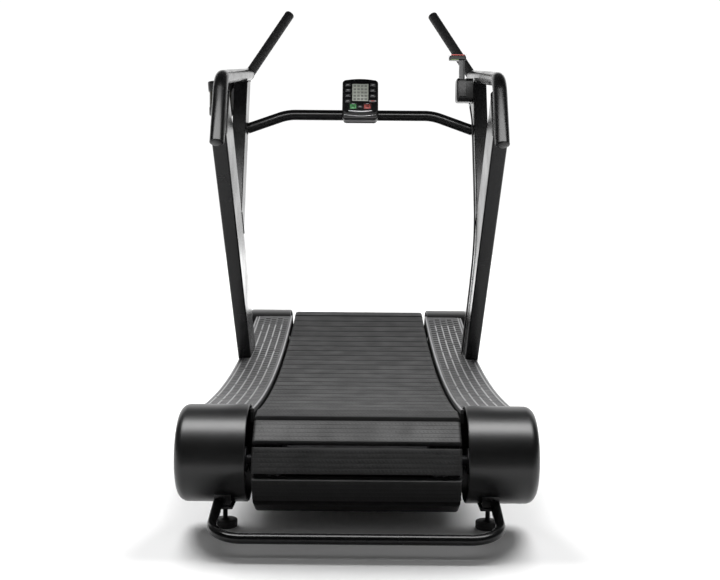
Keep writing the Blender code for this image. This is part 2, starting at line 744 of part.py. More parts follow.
def grips():
    """Forward grips, each with the thin collar that closes the handrail's end."""
    _, upper = handrail_legs()
    angle = math.radians(upper[1])
    for label, side in each_side():
        x = side * RAIL_PLANE
        root = Vector((x, HANDRAIL_END[0], HANDRAIL_END[1]))
        ahead = Vector((0.0, math.cos(angle), math.sin(angle)))
        start = root + ahead * GAP
        corner = root + ahead * 0.030
        tip = Vector((side * GRIP_TIP[0], GRIP_TIP[1], GRIP_TIP[2]))
        sleeve = tube(filleted([start, corner, tip], 0.030, 5), GRIP_R, 14)
        grip = place(f"grip_{label}", sleeve, "grip_rubber", start)
        join(grip, tube([start, start + ahead * 0.004], HANDRAIL_R + 0.0007, 16))


def crossbar():
    """The bar between the struts that carries the console."""
    end = UPRIGHT_X[0] - GAP
    points = [(-end, BAR_Y, BAR_END_Z), (-BAR_BEND_X, BAR_Y, BAR_Z), (BAR_BEND_X, BAR_Y, BAR_Z),
              (end, BAR_Y, BAR_END_Z)]
    bar = place("crossbar", tube(filleted(points, BAR_BEND_R, 5), BAR_R, 14), "powder_black",
                (0.0, BAR_Y, BAR_Z))
    for _, side in each_side():
        cut(bar, box((side * end, BAR_Y - 0.05, 0.95), (side * (end + 0.05), BAR_Y + 0.05, 1.05)))


def bottle_holder():
    """An open cup with windows in its wall and a lug on the left strut."""
    x, y = HOLDER_AXIS
    z0, z1 = HOLDER_Z
    wall = 0.0025
    lip = HOLDER_R + HOLDER_LIP
    profile = [(z0, 0.004), (z0, HOLDER_R - 0.006), (z0 + 0.004, HOLDER_R - 0.003),
               (z0 + 0.024, HOLDER_R - 0.003), (z1 - 0.026, HOLDER_R - 0.002), (z1 - 0.006, lip),
               (z1, lip), (z1, HOLDER_R - 0.001), (z1 - 0.026, HOLDER_R - 0.002 - wall),
               (z0 + 0.024, HOLDER_R - 0.003 - wall), (z0 + 0.004, HOLDER_R - 0.007), (z0 + 0.003, 0.004)]
    cup = place("bottle_holder", upright_turned(profile, x, y, 20, closed=True), "console_plastic")
    low, high = z0 + 0.030, z1 - 0.030
    cut(cup, box((x - 0.016, y - 0.06, low), (x + 0.016, y + 0.06, high)))
    cut(cup, box((x - 0.06, y - 0.016, low), (x - 0.02, y + 0.016, high)))
    lug = [(x + HOLDER_R - 0.006, y - 0.014), (-UPRIGHT_X[1] - GAP, y - 0.014),
           (-UPRIGHT_X[1] - GAP, y + 0.014), (x + HOLDER_R - 0.006, y + 0.014)]
    join(cup, standing(lug, z0 + 0.020, z1 - 0.020))


# ---------------------------------------------------------------- console


def console_point(u, v, w):
    """Console coordinates to the deck frame."""
    sine, cosine = math.sin(CONSOLE_TILT), math.cos(CONSOLE_TILT)
    return (u, BAR_Y + v * sine - w * cosine, BAR_Z + v * cosine + w * sine)


def console_slab(outline, w0, w1, inset=0.0, middle=(0.0, 0.0), bm=None):
    """An outline of the face plane given thickness, its front edge eased by inset."""
    cu, cv = middle
    reach = max(abs(u - cu) for u, _ in outline)
    scale = 1 - inset / reach
    layers = [(w0, 1.0), (w1 - inset, 1.0), (w1, scale)] if inset else [(w0, 1.0), (w1, 1.0)]
    rings = [[console_point(cu + (u - cu) * k, cv + (v - cv) * k, w) for u, v in outline] for w, k in layers]
    return loft(rings, bm)


def rectangle(u, v, half_u, half_v):
    return [(u - half_u, v - half_v), (u + half_u, v - half_v),
            (u + half_u, v + half_v), (u - half_u, v + half_v)]


def key_outline(u, v, half_u, half_v, corner=0.002):
    return [(u + du, v + dv) for du, dv in rounded_rectangle(half_u, -half_v, half_v, corner, 1)]


def key_table():
    """Every key: name, centre U and V, half sizes and finish."""
    keys = []
    for label, u, count in (("left", -COLUMN_U, 4), ("right", COLUMN_U, 3)):
        for i in range(count):
            keys.append((f"key_{label}_{i + 1}", u, COLUMN_TOP_V - i * COLUMN_STEP, SIDE_KEY, "key_grey"))
    keys += [("start_key", -BIG_KEY_U, BOTTOM_KEYS_V, BIG_KEY, "key_green"),
             ("stop_key", BIG_KEY_U, BOTTOM_KEYS_V, BIG_KEY, "key_red"),
             ("mode_key", 0.0, BOTTOM_KEYS_V, MODE_KEY, "key_grey")]
    return keys


def console():
    """Two housing shells clamped round the crossbar, the display lens and the keys."""
    low, high = CONSOLE_V
    middle = (0.0, (low + high) / 2)
    face = rounded_rectangle(CONSOLE_U, low, high - 0.004, CONSOLE_CORNER, 4, arch=0.004)
    back_corner = CONSOLE_CORNER - 0.002
    back = rounded_rectangle(CONSOLE_U - 0.003, low + 0.003, high - 0.007, back_corner, 4, arch=0.004)
    rear_slab = console_slab(back, 0.0, CONSOLE_BACK_W, 0.0, middle)
    front_slab = console_slab(face, GAP, CONSOLE_FACE_W, 0.004, middle)
    rear_shell = place("console_back", rear_slab, "console_plastic")
    front_shell = place("console_front", front_slab, "console_plastic")
    sleeve = [(-0.07, BAR_R + GAP), (0.07, BAR_R + GAP)]
    for shell in (rear_shell, front_shell):
        cut(shell, turned(sleeve, (BAR_Y, BAR_Z), 24))
    pockets = bmesh.new()
    lens_u, lens_v = LENS_HALF
    console_slab(rectangle(0.0, LENS_V, lens_u + KEY_CLEAR, lens_v + KEY_CLEAR),
                 CONSOLE_FACE_W - 0.003, CONSOLE_FACE_W + 0.01, bm=pockets)
    for name, u, v, (half_u, half_v), slot in key_table():
        hole = key_outline(u, v, half_u + KEY_CLEAR, half_v + KEY_CLEAR)
        floor = CONSOLE_FACE_W - KEY_SUNK - KEY_TRAVEL - KEY_CLEAR
        console_slab(hole, floor, CONSOLE_FACE_W + 0.01, bm=pockets)
        body = console_slab(key_outline(u, v, half_u, half_v), CONSOLE_FACE_W - KEY_SUNK,
                            CONSOLE_FACE_W + KEY_RISE, 0.0008, (u, v))
        place(name, body, slot, console_point(u, v, CONSOLE_FACE_W))
    cut(front_shell, pockets)
    lens = console_slab(rectangle(0.0, LENS_V, lens_u, lens_v), CONSOLE_FACE_W - 0.0026,
                        CONSOLE_FACE_W + 0.0004)
    place("console_lens", lens, "lens")


# ---------------------------------------------------------------- resistance lever and brake


def lever():
    """The lever housing on the right strut and the lever that swings in its slot."""
    x, y, z = LEVER_PIVOT
    z0, z1 = HOUSING_Z
    outline = [(y + u, (z0 + z1) / 2 + v) for u, v in
               rounded_rectangle(HOUSING_HALF_Y, (z0 - z1) / 2, (z1 - z0) / 2, 0.012, 4)]
    middle = Vector((y, (z0 + z1) / 2))
    layers = ((HOUSING_X[0], 0.006), (HOUSING_X[0] + 0.002, 0.002), (HOUSING_X[0] + 0.006, 0.0),
              (HOUSING_X[1], 0.0))
    rings = []
    for at, inset in layers:
        scale = 1 - inset / HOUSING_HALF_Y
        rings.append([(at, *(middle + (Vector(point) - middle) * scale)) for point in outline])
    housing = place("lever_housing", loft(rings), "console_plastic")
    cut(housing, box((x - 0.0100, y - 0.026, z - 0.022), (x + 0.0100, y + 0.026, z1 + 0.01)))
    hub = prism(circle_outline((y, z), 0.014, 20), x - 0.0085, x + 0.0085)
    arm = place("lever_arm", hub, "lever_grey", LEVER_PIVOT)
    stem = [(y - 0.009, z), (y + 0.009, z), (y + 0.007, z + 0.094), (y - 0.007, z + 0.094)]
    join(arm, prism(stem, x - 0.0083, x + 0.0083))
    join(arm, box((x - 0.040, y - 0.012, z + 0.090), (x + 0.012, y + 0.012, z + 0.108)))


def brake():
    """Brake disc on the front axle, and the magnet carrier over its rim, on the right beam's stud."""
    bore = AXLE_R + GAP
    x0, x1 = DISC_X
    disc = [(x0, bore), (x1, bore), (x1, DISC_R), (x0, DISC_R)]
    place("brake_disc", turned(disc, FRONT_DRUM, 28, closed=True), "aluminium", (0.0, *FRONT_DRUM))
    cheek_x = ((0.3435, 0.3485), (0.3615, 0.3665))
    start, end, reach = math.radians(29), math.radians(-36), math.radians(2)
    bridge_in, bridge_out, pole = 0.0845, 0.0905, 0.055
    spread = [start + (end - start) * i / 8 for i in range(9)]
    arch = [polar(FRONT_DRUM, bridge_out, a) for a in spread]
    arch += [polar(FRONT_DRUM, bridge_in, a) for a in reversed(spread)]
    carrier = place("magnet_carrier", prism(arch, cheek_x[0][0], cheek_x[1][1]), "zinc",
                    (0.5 * (DISC_X[0] + DISC_X[1]), *CARRIER_PIN))
    cheeks = bmesh.new()
    faces = [reach + (end - reach) * i / 5 for i in range(6)]
    cheek = [polar(FRONT_DRUM, bridge_in + 0.002, a) for a in faces]
    cheek += [polar(FRONT_DRUM, pole, a) for a in reversed(faces)]
    for span in cheek_x:
        prism(cheek, *span, cheeks)
    join(carrier, cheeks)
    join(carrier, prism(circle_outline(CARRIER_PIN, 0.0095, 18), cheek_x[0][0] + 0.001, cheek_x[1][1] - 0.001))
    cut(carrier, prism(circle_outline(CARRIER_PIN, 0.0054, 14), 0.33, 0.38))


def one_way_bearing():
    bore = AXLE_R + GAP
    x0, x1 = mirrored((BEAM_X[1] + GAP, 0.352), -1)
    ring = [(x0, bore), (x1, bore), (x1, 0.030), (x0, 0.026)]
    place("one_way_bearing", turned(ring, FRONT_DRUM, 16, closed=True), "zinc")


def brake_cable():
    """The cable from the lever housing down the right strut and forward under the foot rail."""
    inside, under = 0.3415, 0.3405
    route = [(0.3370, 0.866, 1.0990), (0.3390, 0.857, 1.078), (inside, 0.836, 1.045), (inside, 0.811, 1.000),
             (inside, 0.785, 0.930), (inside, 0.752, 0.840), (inside, 0.728, 0.750), (inside, 0.738, 0.670),
             (inside, 0.785, 0.590), (inside, 0.862, 0.500), (inside, 0.953, 0.400), (inside, 1.017, 0.330),
             (inside, 1.055, 0.298), (under, *deck_point(1.110, 0.032)), (under, *deck_point(1.200, 0.032)),
             (under, *deck_point(1.320, 0.036)), (0.3380, *deck_point(1.420, 0.045)),
             (0.3380, *deck_point(1.470, 0.045)), (0.3380, 1.490, 0.343)]
    place("brake_cable", tube(smooth_path(route, 2), CABLE_R, 6), "grip_rubber", route[0])


def clear_scene():
    for item in list(bpy.data.objects):
        bpy.data.objects.remove(item, do_unlink=True)


def main():
    belt_runs()
    drums()
    roller_tracks()
    side_beams()
    cross_members()
    front_stand()
    transport_wheels()
    feet()
    rear_lift_handle()
    foot_rails()
    covers()
    uprights()
    handrails()
    grips()
    crossbar()
    bottle_holder()
    console()
    lever()
    brake()
    one_way_bearing()
    brake_cable()


clear_scene()
ROOT = bpy.data.objects.new("treadmill", None)
ROOT.location = SHIFT
bpy.context.scene.collection.objects.link(ROOT)
main()
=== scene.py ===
"""The looks of a curved manual treadmill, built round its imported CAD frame. Metres, +Z up.

Most pieces are placed in the deck frame: Y = 0 at the belt's rearmost point, Z = 0 on the floor and X = 0 on
the belt's centre line. SHIFT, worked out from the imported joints, takes the deck frame to the frame's own.
"""

import json
import math

import bpy
from mathutils import Matrix, Vector


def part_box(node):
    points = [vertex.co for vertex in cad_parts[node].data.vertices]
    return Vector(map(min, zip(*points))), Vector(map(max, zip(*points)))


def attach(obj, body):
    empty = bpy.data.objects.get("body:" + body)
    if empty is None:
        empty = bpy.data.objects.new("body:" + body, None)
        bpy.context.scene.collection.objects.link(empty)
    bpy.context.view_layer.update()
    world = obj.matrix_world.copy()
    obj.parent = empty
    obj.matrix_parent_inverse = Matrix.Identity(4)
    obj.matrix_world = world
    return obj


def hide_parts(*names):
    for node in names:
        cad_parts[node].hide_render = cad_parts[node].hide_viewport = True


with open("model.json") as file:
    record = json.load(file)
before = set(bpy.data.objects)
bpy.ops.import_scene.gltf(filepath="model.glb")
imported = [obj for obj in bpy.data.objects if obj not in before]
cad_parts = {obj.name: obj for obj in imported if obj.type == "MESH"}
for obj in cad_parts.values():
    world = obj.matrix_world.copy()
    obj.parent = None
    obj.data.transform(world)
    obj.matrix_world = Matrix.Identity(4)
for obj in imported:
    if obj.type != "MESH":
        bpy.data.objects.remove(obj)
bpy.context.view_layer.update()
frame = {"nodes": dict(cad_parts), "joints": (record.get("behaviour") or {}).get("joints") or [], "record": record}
JOINTS = {joint["name"]: joint for joint in frame["joints"]}
RATIOS = {item["joint"]: abs(item["ratio"]) for item in frame["record"]["behaviour"]["couplings"]}

# The belt's loop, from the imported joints.
REAR_DRUM = (0.118, 0.155)
SHIFT = Vector(JOINTS["rear_roller_turn"]["pos_m"]) - Vector((0.0, *REAR_DRUM))


def pivot(joint):
    """A joint's place in the deck frame's Y-Z plane."""
    spot = Vector(JOINTS[joint]["pos_m"]) - SHIFT
    return (spot.y, spot.z)


FRONT_DRUM = pivot("front_roller_turn")
DECK_CENTRE = pivot("belt_travel")
UNDER_CENTRE = pivot("belt_return")
SLATS_PER_TURN = 10
SLAT_COUNT = 56
SLAT_DEPTH = 0.0165
SLAT_HALF = 0.0298
SLAT_END = 0.240
SLAT_END_ROUND = 0.009
SLAT_END_DROP = 0.0072
FIRST_SLAT = 0.0439
DECK_REACH = math.dist(DECK_CENTRE, REAR_DRUM)
DRUM_R = DECK_REACH / (1 + RATIOS["rear_roller_turn"])
BELT_R = DECK_REACH - DRUM_R
DECK_R = BELT_R - SLAT_DEPTH
UNDER_R = math.dist(UNDER_CENTRE, REAR_DRUM) + DRUM_R
PITCH = 2 * math.pi * DRUM_R / SLATS_PER_TURN
CARRIER_X = (0.174, 0.206)

# Side structure, in the deck frame.
COVER_X = (0.255, 0.420)
COVER_R = 0.1145
COVER_FILLET = 0.024
COVER_WALL = 0.0035
REAR_COVER = (REAR_DRUM[0] + 0.002, REAR_DRUM[1] + 0.0155)
FRONT_COVER = (FRONT_DRUM[0], FRONT_DRUM[1] + 0.013)
RAIL_Y = (0.1325, 1.500)
BAR_X = (0.345, 0.386)
TUBE_X = 0.5 * (BAR_X[0] + BAR_X[1])
UPRIGHT_LINE = ((0.6906, 0.6815), -47.5)
UPRIGHT_HALF = 0.061
STRUT_LINE = ((0.8064, 0.9282), 70.4)
STRUT_HALF = 0.039
HANDRAIL_R = 0.019
HANDRAIL_LOW = (0.334, 0.9235)
HANDRAIL_BEND = (0.4115, 1.1015)
HANDRAIL_END = (1.050, 1.2120)
GRIP_R = 0.016
GRIP_TIP = (0.243, 1.200, 1.437)
CROSSBAR_R = 0.016
CROSSBAR_Y = 0.850
CROSSBAR_END_Z = 1.015
CROSSBAR_BEND_X = 0.222
CROSSBAR_BEND_R = 0.150
CROSSBAR_Z = 1.058
CONSOLE_TILT = math.radians(20)


# ---------------------------------------------------------------- plane geometry


def polar(centre, radius, phi):
    """A point at this radius, in the direction phi from +Z towards +Y."""
    return (centre[0] + radius * math.sin(phi), centre[1] + radius * math.cos(phi))


def deck_point(y, rise):
    """A point over (or, with a negative rise, under) the running surface, square to it."""
    theta = math.asin((y - DECK_CENTRE[0]) / DECK_R)
    radius = DECK_R - rise
    return (DECK_CENTRE[0] + radius * math.sin(theta), DECK_CENTRE[1] - radius * math.cos(theta))


def line_through(first, second):
    return (first, math.degrees(math.atan2(second[1] - first[1], second[0] - first[0])))


def shifted(line, distance):
    """The line moved to its left by this distance."""
    (y, z), degrees = line
    angle = math.radians(degrees)
    return ((y - distance * math.sin(angle), z + distance * math.cos(angle)), degrees)


def meet(first, second):
    """The point where two lines of the Y-Z plane cross."""
    (y1, z1), d1 = first
    (y2, z2), d2 = second
    a1, a2 = math.radians(d1), math.radians(d2)
    t = ((y2 - y1) * math.sin(a2) - (z2 - z1) * math.cos(a2)) / math.sin(a2 - a1)
    return (y1 + t * math.cos(a1), z1 + t * math.sin(a1))


def circle(centre, radius, sides):
    return [polar(centre, radius, 2 * math.pi * i / sides) for i in range(sides)]


def rounded_rectangle(half_u, low_v, high_v, corner, steps=6, arch=0.0):
    """An outline with round corners, its top edge crowned by arch."""
    corners = ((half_u - corner, high_v - corner, 0), (-half_u + corner, high_v - corner, 90),
               (-half_u + corner, low_v + corner, 180), (half_u - corner, low_v + corner, 270))
    points = []
    for u, v, start in corners:
        for i in range(steps + 1):
            angle = math.radians(start + 90 * i / steps)
            points.append((u + corner * math.cos(angle), v + corner * math.sin(angle)))
        if start == 0 and arch:
            wide = half_u - corner
            for i in range(1, 8):
                share = 1 - i / 4
                points.append((wide * share, high_v + arch * (1 - share * share)))
    return points


def filleted(points, radius, steps=10):
    """The corners of a path rounded by arcs."""
    points = [Vector(point) for point in points]
    path = [points[0]]
    for before, corner, after in zip(points, points[1:], points[2:]):
        into = (before - corner).normalized()
        out = (after - corner).normalized()
        half = into.angle(out) / 2
        reach = radius / math.tan(half)
        centre = corner + (into + out).normalized() * (radius / math.sin(half))
        start = corner + into * reach - centre
        end = corner + out * reach - centre
        sweep = start.angle(end)
        for i in range(steps + 1):
            t = i / steps
            mixed = start * math.sin((1 - t) * sweep) + end * math.sin(t * sweep)
            path.append(centre + mixed / math.sin(sweep))
    return path + [points[-1]]


def smooth_path(points, steps=6):
    """A smooth curve through the points."""
    points = [Vector(point) for point in points]
    ends = [2 * points[0] - points[1]] + points + [2 * points[-1] - points[-2]]
    path = []
    for a, b, c, d in zip(ends, ends[1:], ends[2:], ends[3:]):
        for i in range(steps):
            t = i / steps
            cubic = -a + 3 * b - 3 * c + d
            square = 2 * a - 5 * b + 4 * c - d
            path.append(0.5 * (2 * b + (c - a) * t + square * t * t + cubic * t * t * t))
    return path + [points[-1]]


# ---------------------------------------------------------------- solids


class Solid:
    """Vertices and faces of a piece, gathered from closed shapes."""

    def __init__(self):
        self.verts = []
        self.faces = []

    def loft(self, rings, ring_closed=False):
        """A closed shape through rings of points; ring_closed joins the last ring to the first."""
        start = len(self.verts)
        count = len(rings[0])
        faces = []
        for ring in rings:
            self.verts += [tuple(point) for point in ring]
        last = len(rings) if ring_closed else len(rings) - 1
        for i in range(last):
            low, high = start + i * count, start + (i + 1) % len(rings) * count
            for k in range(count):
                n = (k + 1) % count
                faces.append((low + k, low + n, high + n, high + k))
        if not ring_closed:
            faces.append(tuple(start + k for k in reversed(range(count))))
            faces.append(tuple(start + (len(rings) - 1) * count + k for k in range(count)))
        if self.volume(faces) < 0:
            faces = [tuple(reversed(face)) for face in faces]
        self.faces += faces
        return self

    def volume(self, faces):
        total = 0.0
        for face in faces:
            first = Vector(self.verts[face[0]])
            for i, k in zip(face[1:-1], face[2:]):
                total += first.dot(Vector(self.verts[i]).cross(Vector(self.verts[k])))
        return total

    def prism(self, outline, x0, x1):
        return self.loft([[(x, y, z) for y, z in outline] for x in (x0, x1)])

    def box(self, low, high):
        outline = [(low[1], low[2]), (high[1], low[2]), (high[1], high[2]), (low[1], high[2])]
        return self.prism(outline, low[0], high[0])

    def turned(self, profile, centre, sides=64, ring=False):
        """A profile of (x, radius) turned about the X axis through centre."""
        rings = [[(x, *point) for point in circle(centre, r, sides)] for x, r in profile]
        return self.loft(rings, ring)

    def standing(self, profile, x, y, sides=48, ring=False):
        """A profile of (z, radius) turned about the vertical through x, y."""
        rings = [[(x + u, y + v, z) for u, v in circle((0.0, 0.0), r, sides)] for z, r in profile]
        return self.loft(rings, ring)

    def tube(self, path, radius, sides=32, cap=0.0):
        """A round bar along a path, its ends domed by cap; radius may be one number or one for each point."""
        path = [Vector(point) for point in path]
        radii = list(radius) if hasattr(radius, "__len__") else [radius] * len(path)
        side = (path[1] - path[0]).orthogonal().normalized()
        rings = []
        for i, point in enumerate(path):
            into = (point - path[max(i - 1, 0)]).normalized() if i else (path[1] - point).normalized()
            out = (path[i + 1] - point).normalized() if i + 1 < len(path) else into
            along = (into + out).normalized()
            side = (side - along * side.dot(along)).normalized()
            other = along.cross(side)
            arms = [side * math.cos(a) + other * math.sin(a)
                    for a in (2 * math.pi * k / sides for k in range(sides))]
            ends = []
            if cap and i in (0, len(path) - 1):
                outward = -along if i == 0 else along
                for k in range(1, 5):
                    turn = math.radians(90 * k / 4.3)
                    ends.append([point + outward * cap * math.sin(turn) + arm * radii[i] * math.cos(turn)
                                 for arm in arms])
            body = [point + arm * radii[i] for arm in arms]
            if i == 0:
                rings += ends[::-1] + [body]
            else:
                rings += [body] + ends
        return self.loft(rings)

    def bead(self, path, radius=0.0022, step=0.0035):
        """A weld bead along a path: a thin bar with a ripple each step."""
        path = [Vector(point) for point in path]
        fine = []
        for a, b in zip(path, path[1:]):
            count = max(2, round((b - a).length / (step / 2)))
            fine += [a.lerp(b, i / count) for i in range(count)]
        fine.append(path[-1])
        radii = [radius * (0.82 if i % 2 else 1.0) for i in range(len(fine))]
        return self.tube(fine, radii, 8)


def placed(name, data):
    """A new object in the scene."""
    made = bpy.data.objects.new(name, data)
    bpy.context.scene.collection.objects.link(made)
    return made


def piece(name, solid, finish, replaces=(), body="frame", bevel=0.0, segments=3, smooth=38):
    """One named piece of the object, moved from the deck frame to its place and set riding on a body."""
    mesh = bpy.data.meshes.new(name)
    mesh.from_pydata([(x + SHIFT.x, y + SHIFT.y, z + SHIFT.z) for x, y, z in solid.verts], [], solid.faces)
    mesh.shade_smooth()
    mesh.set_sharp_from_angle(angle=math.radians(smooth))
    mesh.materials.append(FINISH[finish])
    made = placed(name, mesh)
    if bevel:
        soften(made, bevel, segments)
    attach(made, body)
    if replaces:
        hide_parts(*replaces)
    return made


def soften(made, width, segments=3):
    """Rounded edges, with the normals of the flats kept flat."""
    edges = made.modifiers.new("rounded_edges", "BEVEL")
    edges.width = width
    edges.segments = segments
    edges.limit_method = "ANGLE"
    edges.angle_limit = math.radians(32)
    edges.harden_normals = True


def each_side():
    return (("left", -1), ("right", 1))


# ---------------------------------------------------------------- materials


def add_node(tree, kind, **values):
    """A shader node with the named inputs set; an underscore in a name stands for a space."""
    node = tree.nodes.new("ShaderNode" + kind)
    for name, value in values.items():
        node.inputs[name.replace("_", " ")].default_value = value
    return node


def patchy(tree, vector, scale, detail, **values):
    """A noise texture's grey value over this vector."""
    noise = add_node(tree, "TexNoise", Scale=scale, Detail=detail, **values)
    tree.links.new(vector, noise.inputs["Vector"])
    return noise.outputs["Fac"]


def ranged(tree, value, **limits):
    """The value mapped from one range to another."""
    made = add_node(tree, "MapRange", **limits)
    tree.links.new(value, made.inputs["Value"])
    return made.outputs["Result"]


def surface(name, colour, roughness, grain, bump, vary, metallic=0.0, depth=0.0004, patch=9.0,
            rough_vary=0.07, stretch=(1.0, 1.0, 1.0), coat=0.0, specular=0.5):
    """A finish whose colour and roughness drift over patches, with a fine grain in its normals."""
    made = bpy.data.materials.new(name)
    made.use_nodes = True
    tree = made.node_tree
    shader = tree.nodes["Principled BSDF"].inputs
    shader["Metallic"].default_value = metallic
    shader["Coat Weight"].default_value = coat
    shader["Specular IOR Level"].default_value = specular
    place = tree.nodes.new("ShaderNodeTexCoord").outputs["Object"]
    scale = add_node(tree, "Mapping", Scale=stretch)
    tree.links.new(place, scale.inputs["Vector"])
    drift = patchy(tree, place, patch, 5.0)
    tones = tree.nodes.new("ShaderNodeValToRGB")
    for stop, position, change in zip(tones.color_ramp.elements, (0.32, 0.68), (-vary, vary)):
        stop.position = position
        stop.color = (*(c * (1 + change) for c in colour), 1.0)
    tree.links.new(drift, tones.inputs["Fac"])
    tree.links.new(tones.outputs["Color"], shader["Base Color"])
    rough = ranged(tree, drift, From_Min=0.3, From_Max=0.7, To_Min=roughness - rough_vary,
                   To_Max=roughness + rough_vary)
    tree.links.new(rough, shader["Roughness"])
    relief = add_node(tree, "Bump", Strength=bump, Distance=depth)
    tree.links.new(patchy(tree, scale.outputs["Vector"], grain, 3.0), relief.inputs["Height"])
    tree.links.new(relief.outputs["Normal"], shader["Normal"])
    return made


def scuffed(made, colour, scale, low, high):
    """Adds light scuffs and dust in thin broken patches over a finish."""
    tree = made.node_tree
    base_colour = tree.nodes["Principled BSDF"].inputs["Base Color"]
    clean = base_colour.links[0].from_socket
    place = tree.nodes.new("ShaderNodeTexCoord").outputs["Object"]
    marks = patchy(tree, place, scale, 8.0, Distortion=0.8)
    mix = tree.nodes.new("ShaderNodeMix")
    mix.data_type = "RGBA"
    mix.inputs["B"].default_value = (*colour, 1.0)
    tree.links.new(ranged(tree, marks, From_Min=low, From_Max=high), mix.inputs["Factor"])
    tree.links.new(clean, mix.inputs["A"])
    tree.links.new(mix.outputs["Result"], base_colour)


def grey(level, blue=None):
    """A grey, with its own blue where it isn't neutral."""
    return (level, level, level if blue is None else blue)


def finishes():
    """Every material of the object. A row is its short name, its full name, colour, roughness, grain, bump,
    vary and whatever else differs from a plain surface."""
    table = (
        ("slat", "slat_rubber", grey(0.010, 0.0105), 0.58, 240.0, 0.22, 0.12,
         {"depth": 0.0003, "stretch": (0.15, 1.0, 1.0), "patch": 16.0, "specular": 0.42}),
        ("carrier", "carrier_rubber", grey(0.012), 0.75, 400.0, 0.30, 0.18, {}),
        ("powder", "powder_coat", grey(0.0075, 0.008), 0.22, 650.0, 0.08, 0.10,
         {"depth": 0.0002, "specular": 0.28}),
        ("cover", "cover_plastic", grey(0.0055, 0.006), 0.34, 1400.0, 0.10, 0.08,
         {"depth": 0.0002, "rough_vary": 0.03, "patch": 6.0}),
        ("rail", "rail_plastic", grey(0.046, 0.048), 0.50, 500.0, 0.22, 0.16,
         {"depth": 0.0003, "patch": 12.0}),
        # The ribs' light finish is a painted highlight on their raised tops.
        ("rib", "rail_rib", grey(0.190, 0.193), 0.34, 700.0, 0.08, 0.16, {"depth": 0.0002, "patch": 14.0}),
        # Near-black: painted shade on the rail's inner face and on the belt pan.
        ("liner", "rail_liner", grey(0.003), 0.80, 500.0, 0.20, 0.15, {"specular": 0.2}),
        # Near-black pocket floors: painted shade in the recesses.
        ("slots", "rail_slot", grey(0.010), 0.70, 500.0, 0.20, 0.15, {"specular": 0.25}),
        ("grip", "grip_foam", grey(0.016, 0.017), 0.66, 320.0, 0.18, 0.15, {"depth": 0.0005}),
        ("dark_steel", "blackened_steel", grey(0.040, 0.042), 0.45, 260.0, 0.12, 0.20,
         {"metallic": 0.7, "patch": 60.0}),
        ("zinc", "zinc_plate", (0.40, 0.41, 0.42), 0.42, 260.0, 0.12, 0.14, {"metallic": 1.0, "patch": 40.0}),
        ("aluminium", "turned_aluminium", (0.70, 0.71, 0.72), 0.32, 700.0, 0.08, 0.06,
         {"metallic": 1.0, "stretch": (8.0, 1.0, 1.0)}),
        ("housing", "console_plastic", grey(0.0060, 0.0065), 0.36, 1300.0, 0.14, 0.10,
         {"depth": 0.0002, "specular": 0.30}),
        ("overlay", "console_overlay", grey(0.006, 0.007), 0.22, 900.0, 0.05, 0.10, {"depth": 0.0001}),
        ("display", "display_glass", (0.62, 0.65, 0.58), 0.40, 60.0, 0.02, 0.05,
         {"depth": 0.0001, "specular": 0.3}),
        ("segment", "display_segment", (0.28, 0.30, 0.265), 0.40, 300.0, 0.02, 0.08, {}),
        ("bright", "satin_silver", grey(0.50, 0.51), 0.30, 800.0, 0.08, 0.06, {"metallic": 0.9}),
        ("key", "key_grey", (0.030, 0.031, 0.033), 0.42, 900.0, 0.10, 0.10, {}),
        ("mark", "key_mark", grey(0.42, 0.43), 0.50, 700.0, 0.05, 0.05, {}),
        ("green", "key_green", (0.14, 0.62, 0.20), 0.38, 900.0, 0.08, 0.08, {}),
        ("red", "key_red", (0.80, 0.13, 0.11), 0.38, 900.0, 0.08, 0.08, {}),
        ("deep_green", "panel_green", (0.006, 0.045, 0.012), 0.34, 900.0, 0.05, 0.08, {}),
        ("deep_red", "panel_red", (0.075, 0.008, 0.008), 0.34, 900.0, 0.05, 0.08, {}),
        ("lever", "lever_grey", grey(0.105, 0.108), 0.42, 800.0, 0.12, 0.10, {}),
        ("lime", "lever_lime", (0.26, 0.42, 0.10), 0.45, 700.0, 0.08, 0.08, {}),
        ("wheel", "wheel_rubber", grey(0.016), 0.62, 350.0, 0.35, 0.20, {}),
        ("smoke", "smoky_plastic", (0.030, 0.028, 0.020), 0.24, 500.0, 0.06, 0.15, {"coat": 0.3}))
    made = {key: surface(name + "_finish", *values, **more) for key, name, *values, more in table}
    scuffed(made["rail"], grey(0.125, 0.128), 45.0, 0.56, 0.80)
    scuffed(made["slat"], grey(0.018, 0.019), 38.0, 0.62, 0.86)
    scuffed(made["powder"], grey(0.014, 0.015), 70.0, 0.66, 0.88)
    scuffed(made["wheel"], (0.040, 0.039, 0.037), 90.0, 0.58, 0.80)
    return made


FINISH = finishes()


# ---------------------------------------------------------------- running belt


def belt_runs():
    """The four lengths of the loop: name, body, centre, radius, first and last angle."""
    rear_top = math.atan2(DECK_CENTRE[0] - REAR_DRUM[0], DECK_CENTRE[1] - REAR_DRUM[1])
    front_top = math.atan2(DECK_CENTRE[0] - FRONT_DRUM[0], DECK_CENTRE[1] - FRONT_DRUM[1])
    front_low = math.atan2(FRONT_DRUM[0] - UNDER_CENTRE[0], FRONT_DRUM[1] - UNDER_CENTRE[1])
    rear_low = math.atan2(REAR_DRUM[0] - UNDER_CENTRE[0], REAR_DRUM[1] - UNDER_CENTRE[1])
    return (("belt_top_run", "belt_top", DECK_CENTRE, -BELT_R, rear_top, front_top),
            ("belt_front_turn", "front_roller", FRONT_DRUM, DRUM_R, front_top, front_low),
            ("belt_bottom_run", "belt_bottom", UNDER_CENTRE, UNDER_R, front_low, rear_low),
            ("belt_rear_turn", "rear_roller", REAR_DRUM, DRUM_R, rear_low, rear_top + 2 * math.pi))


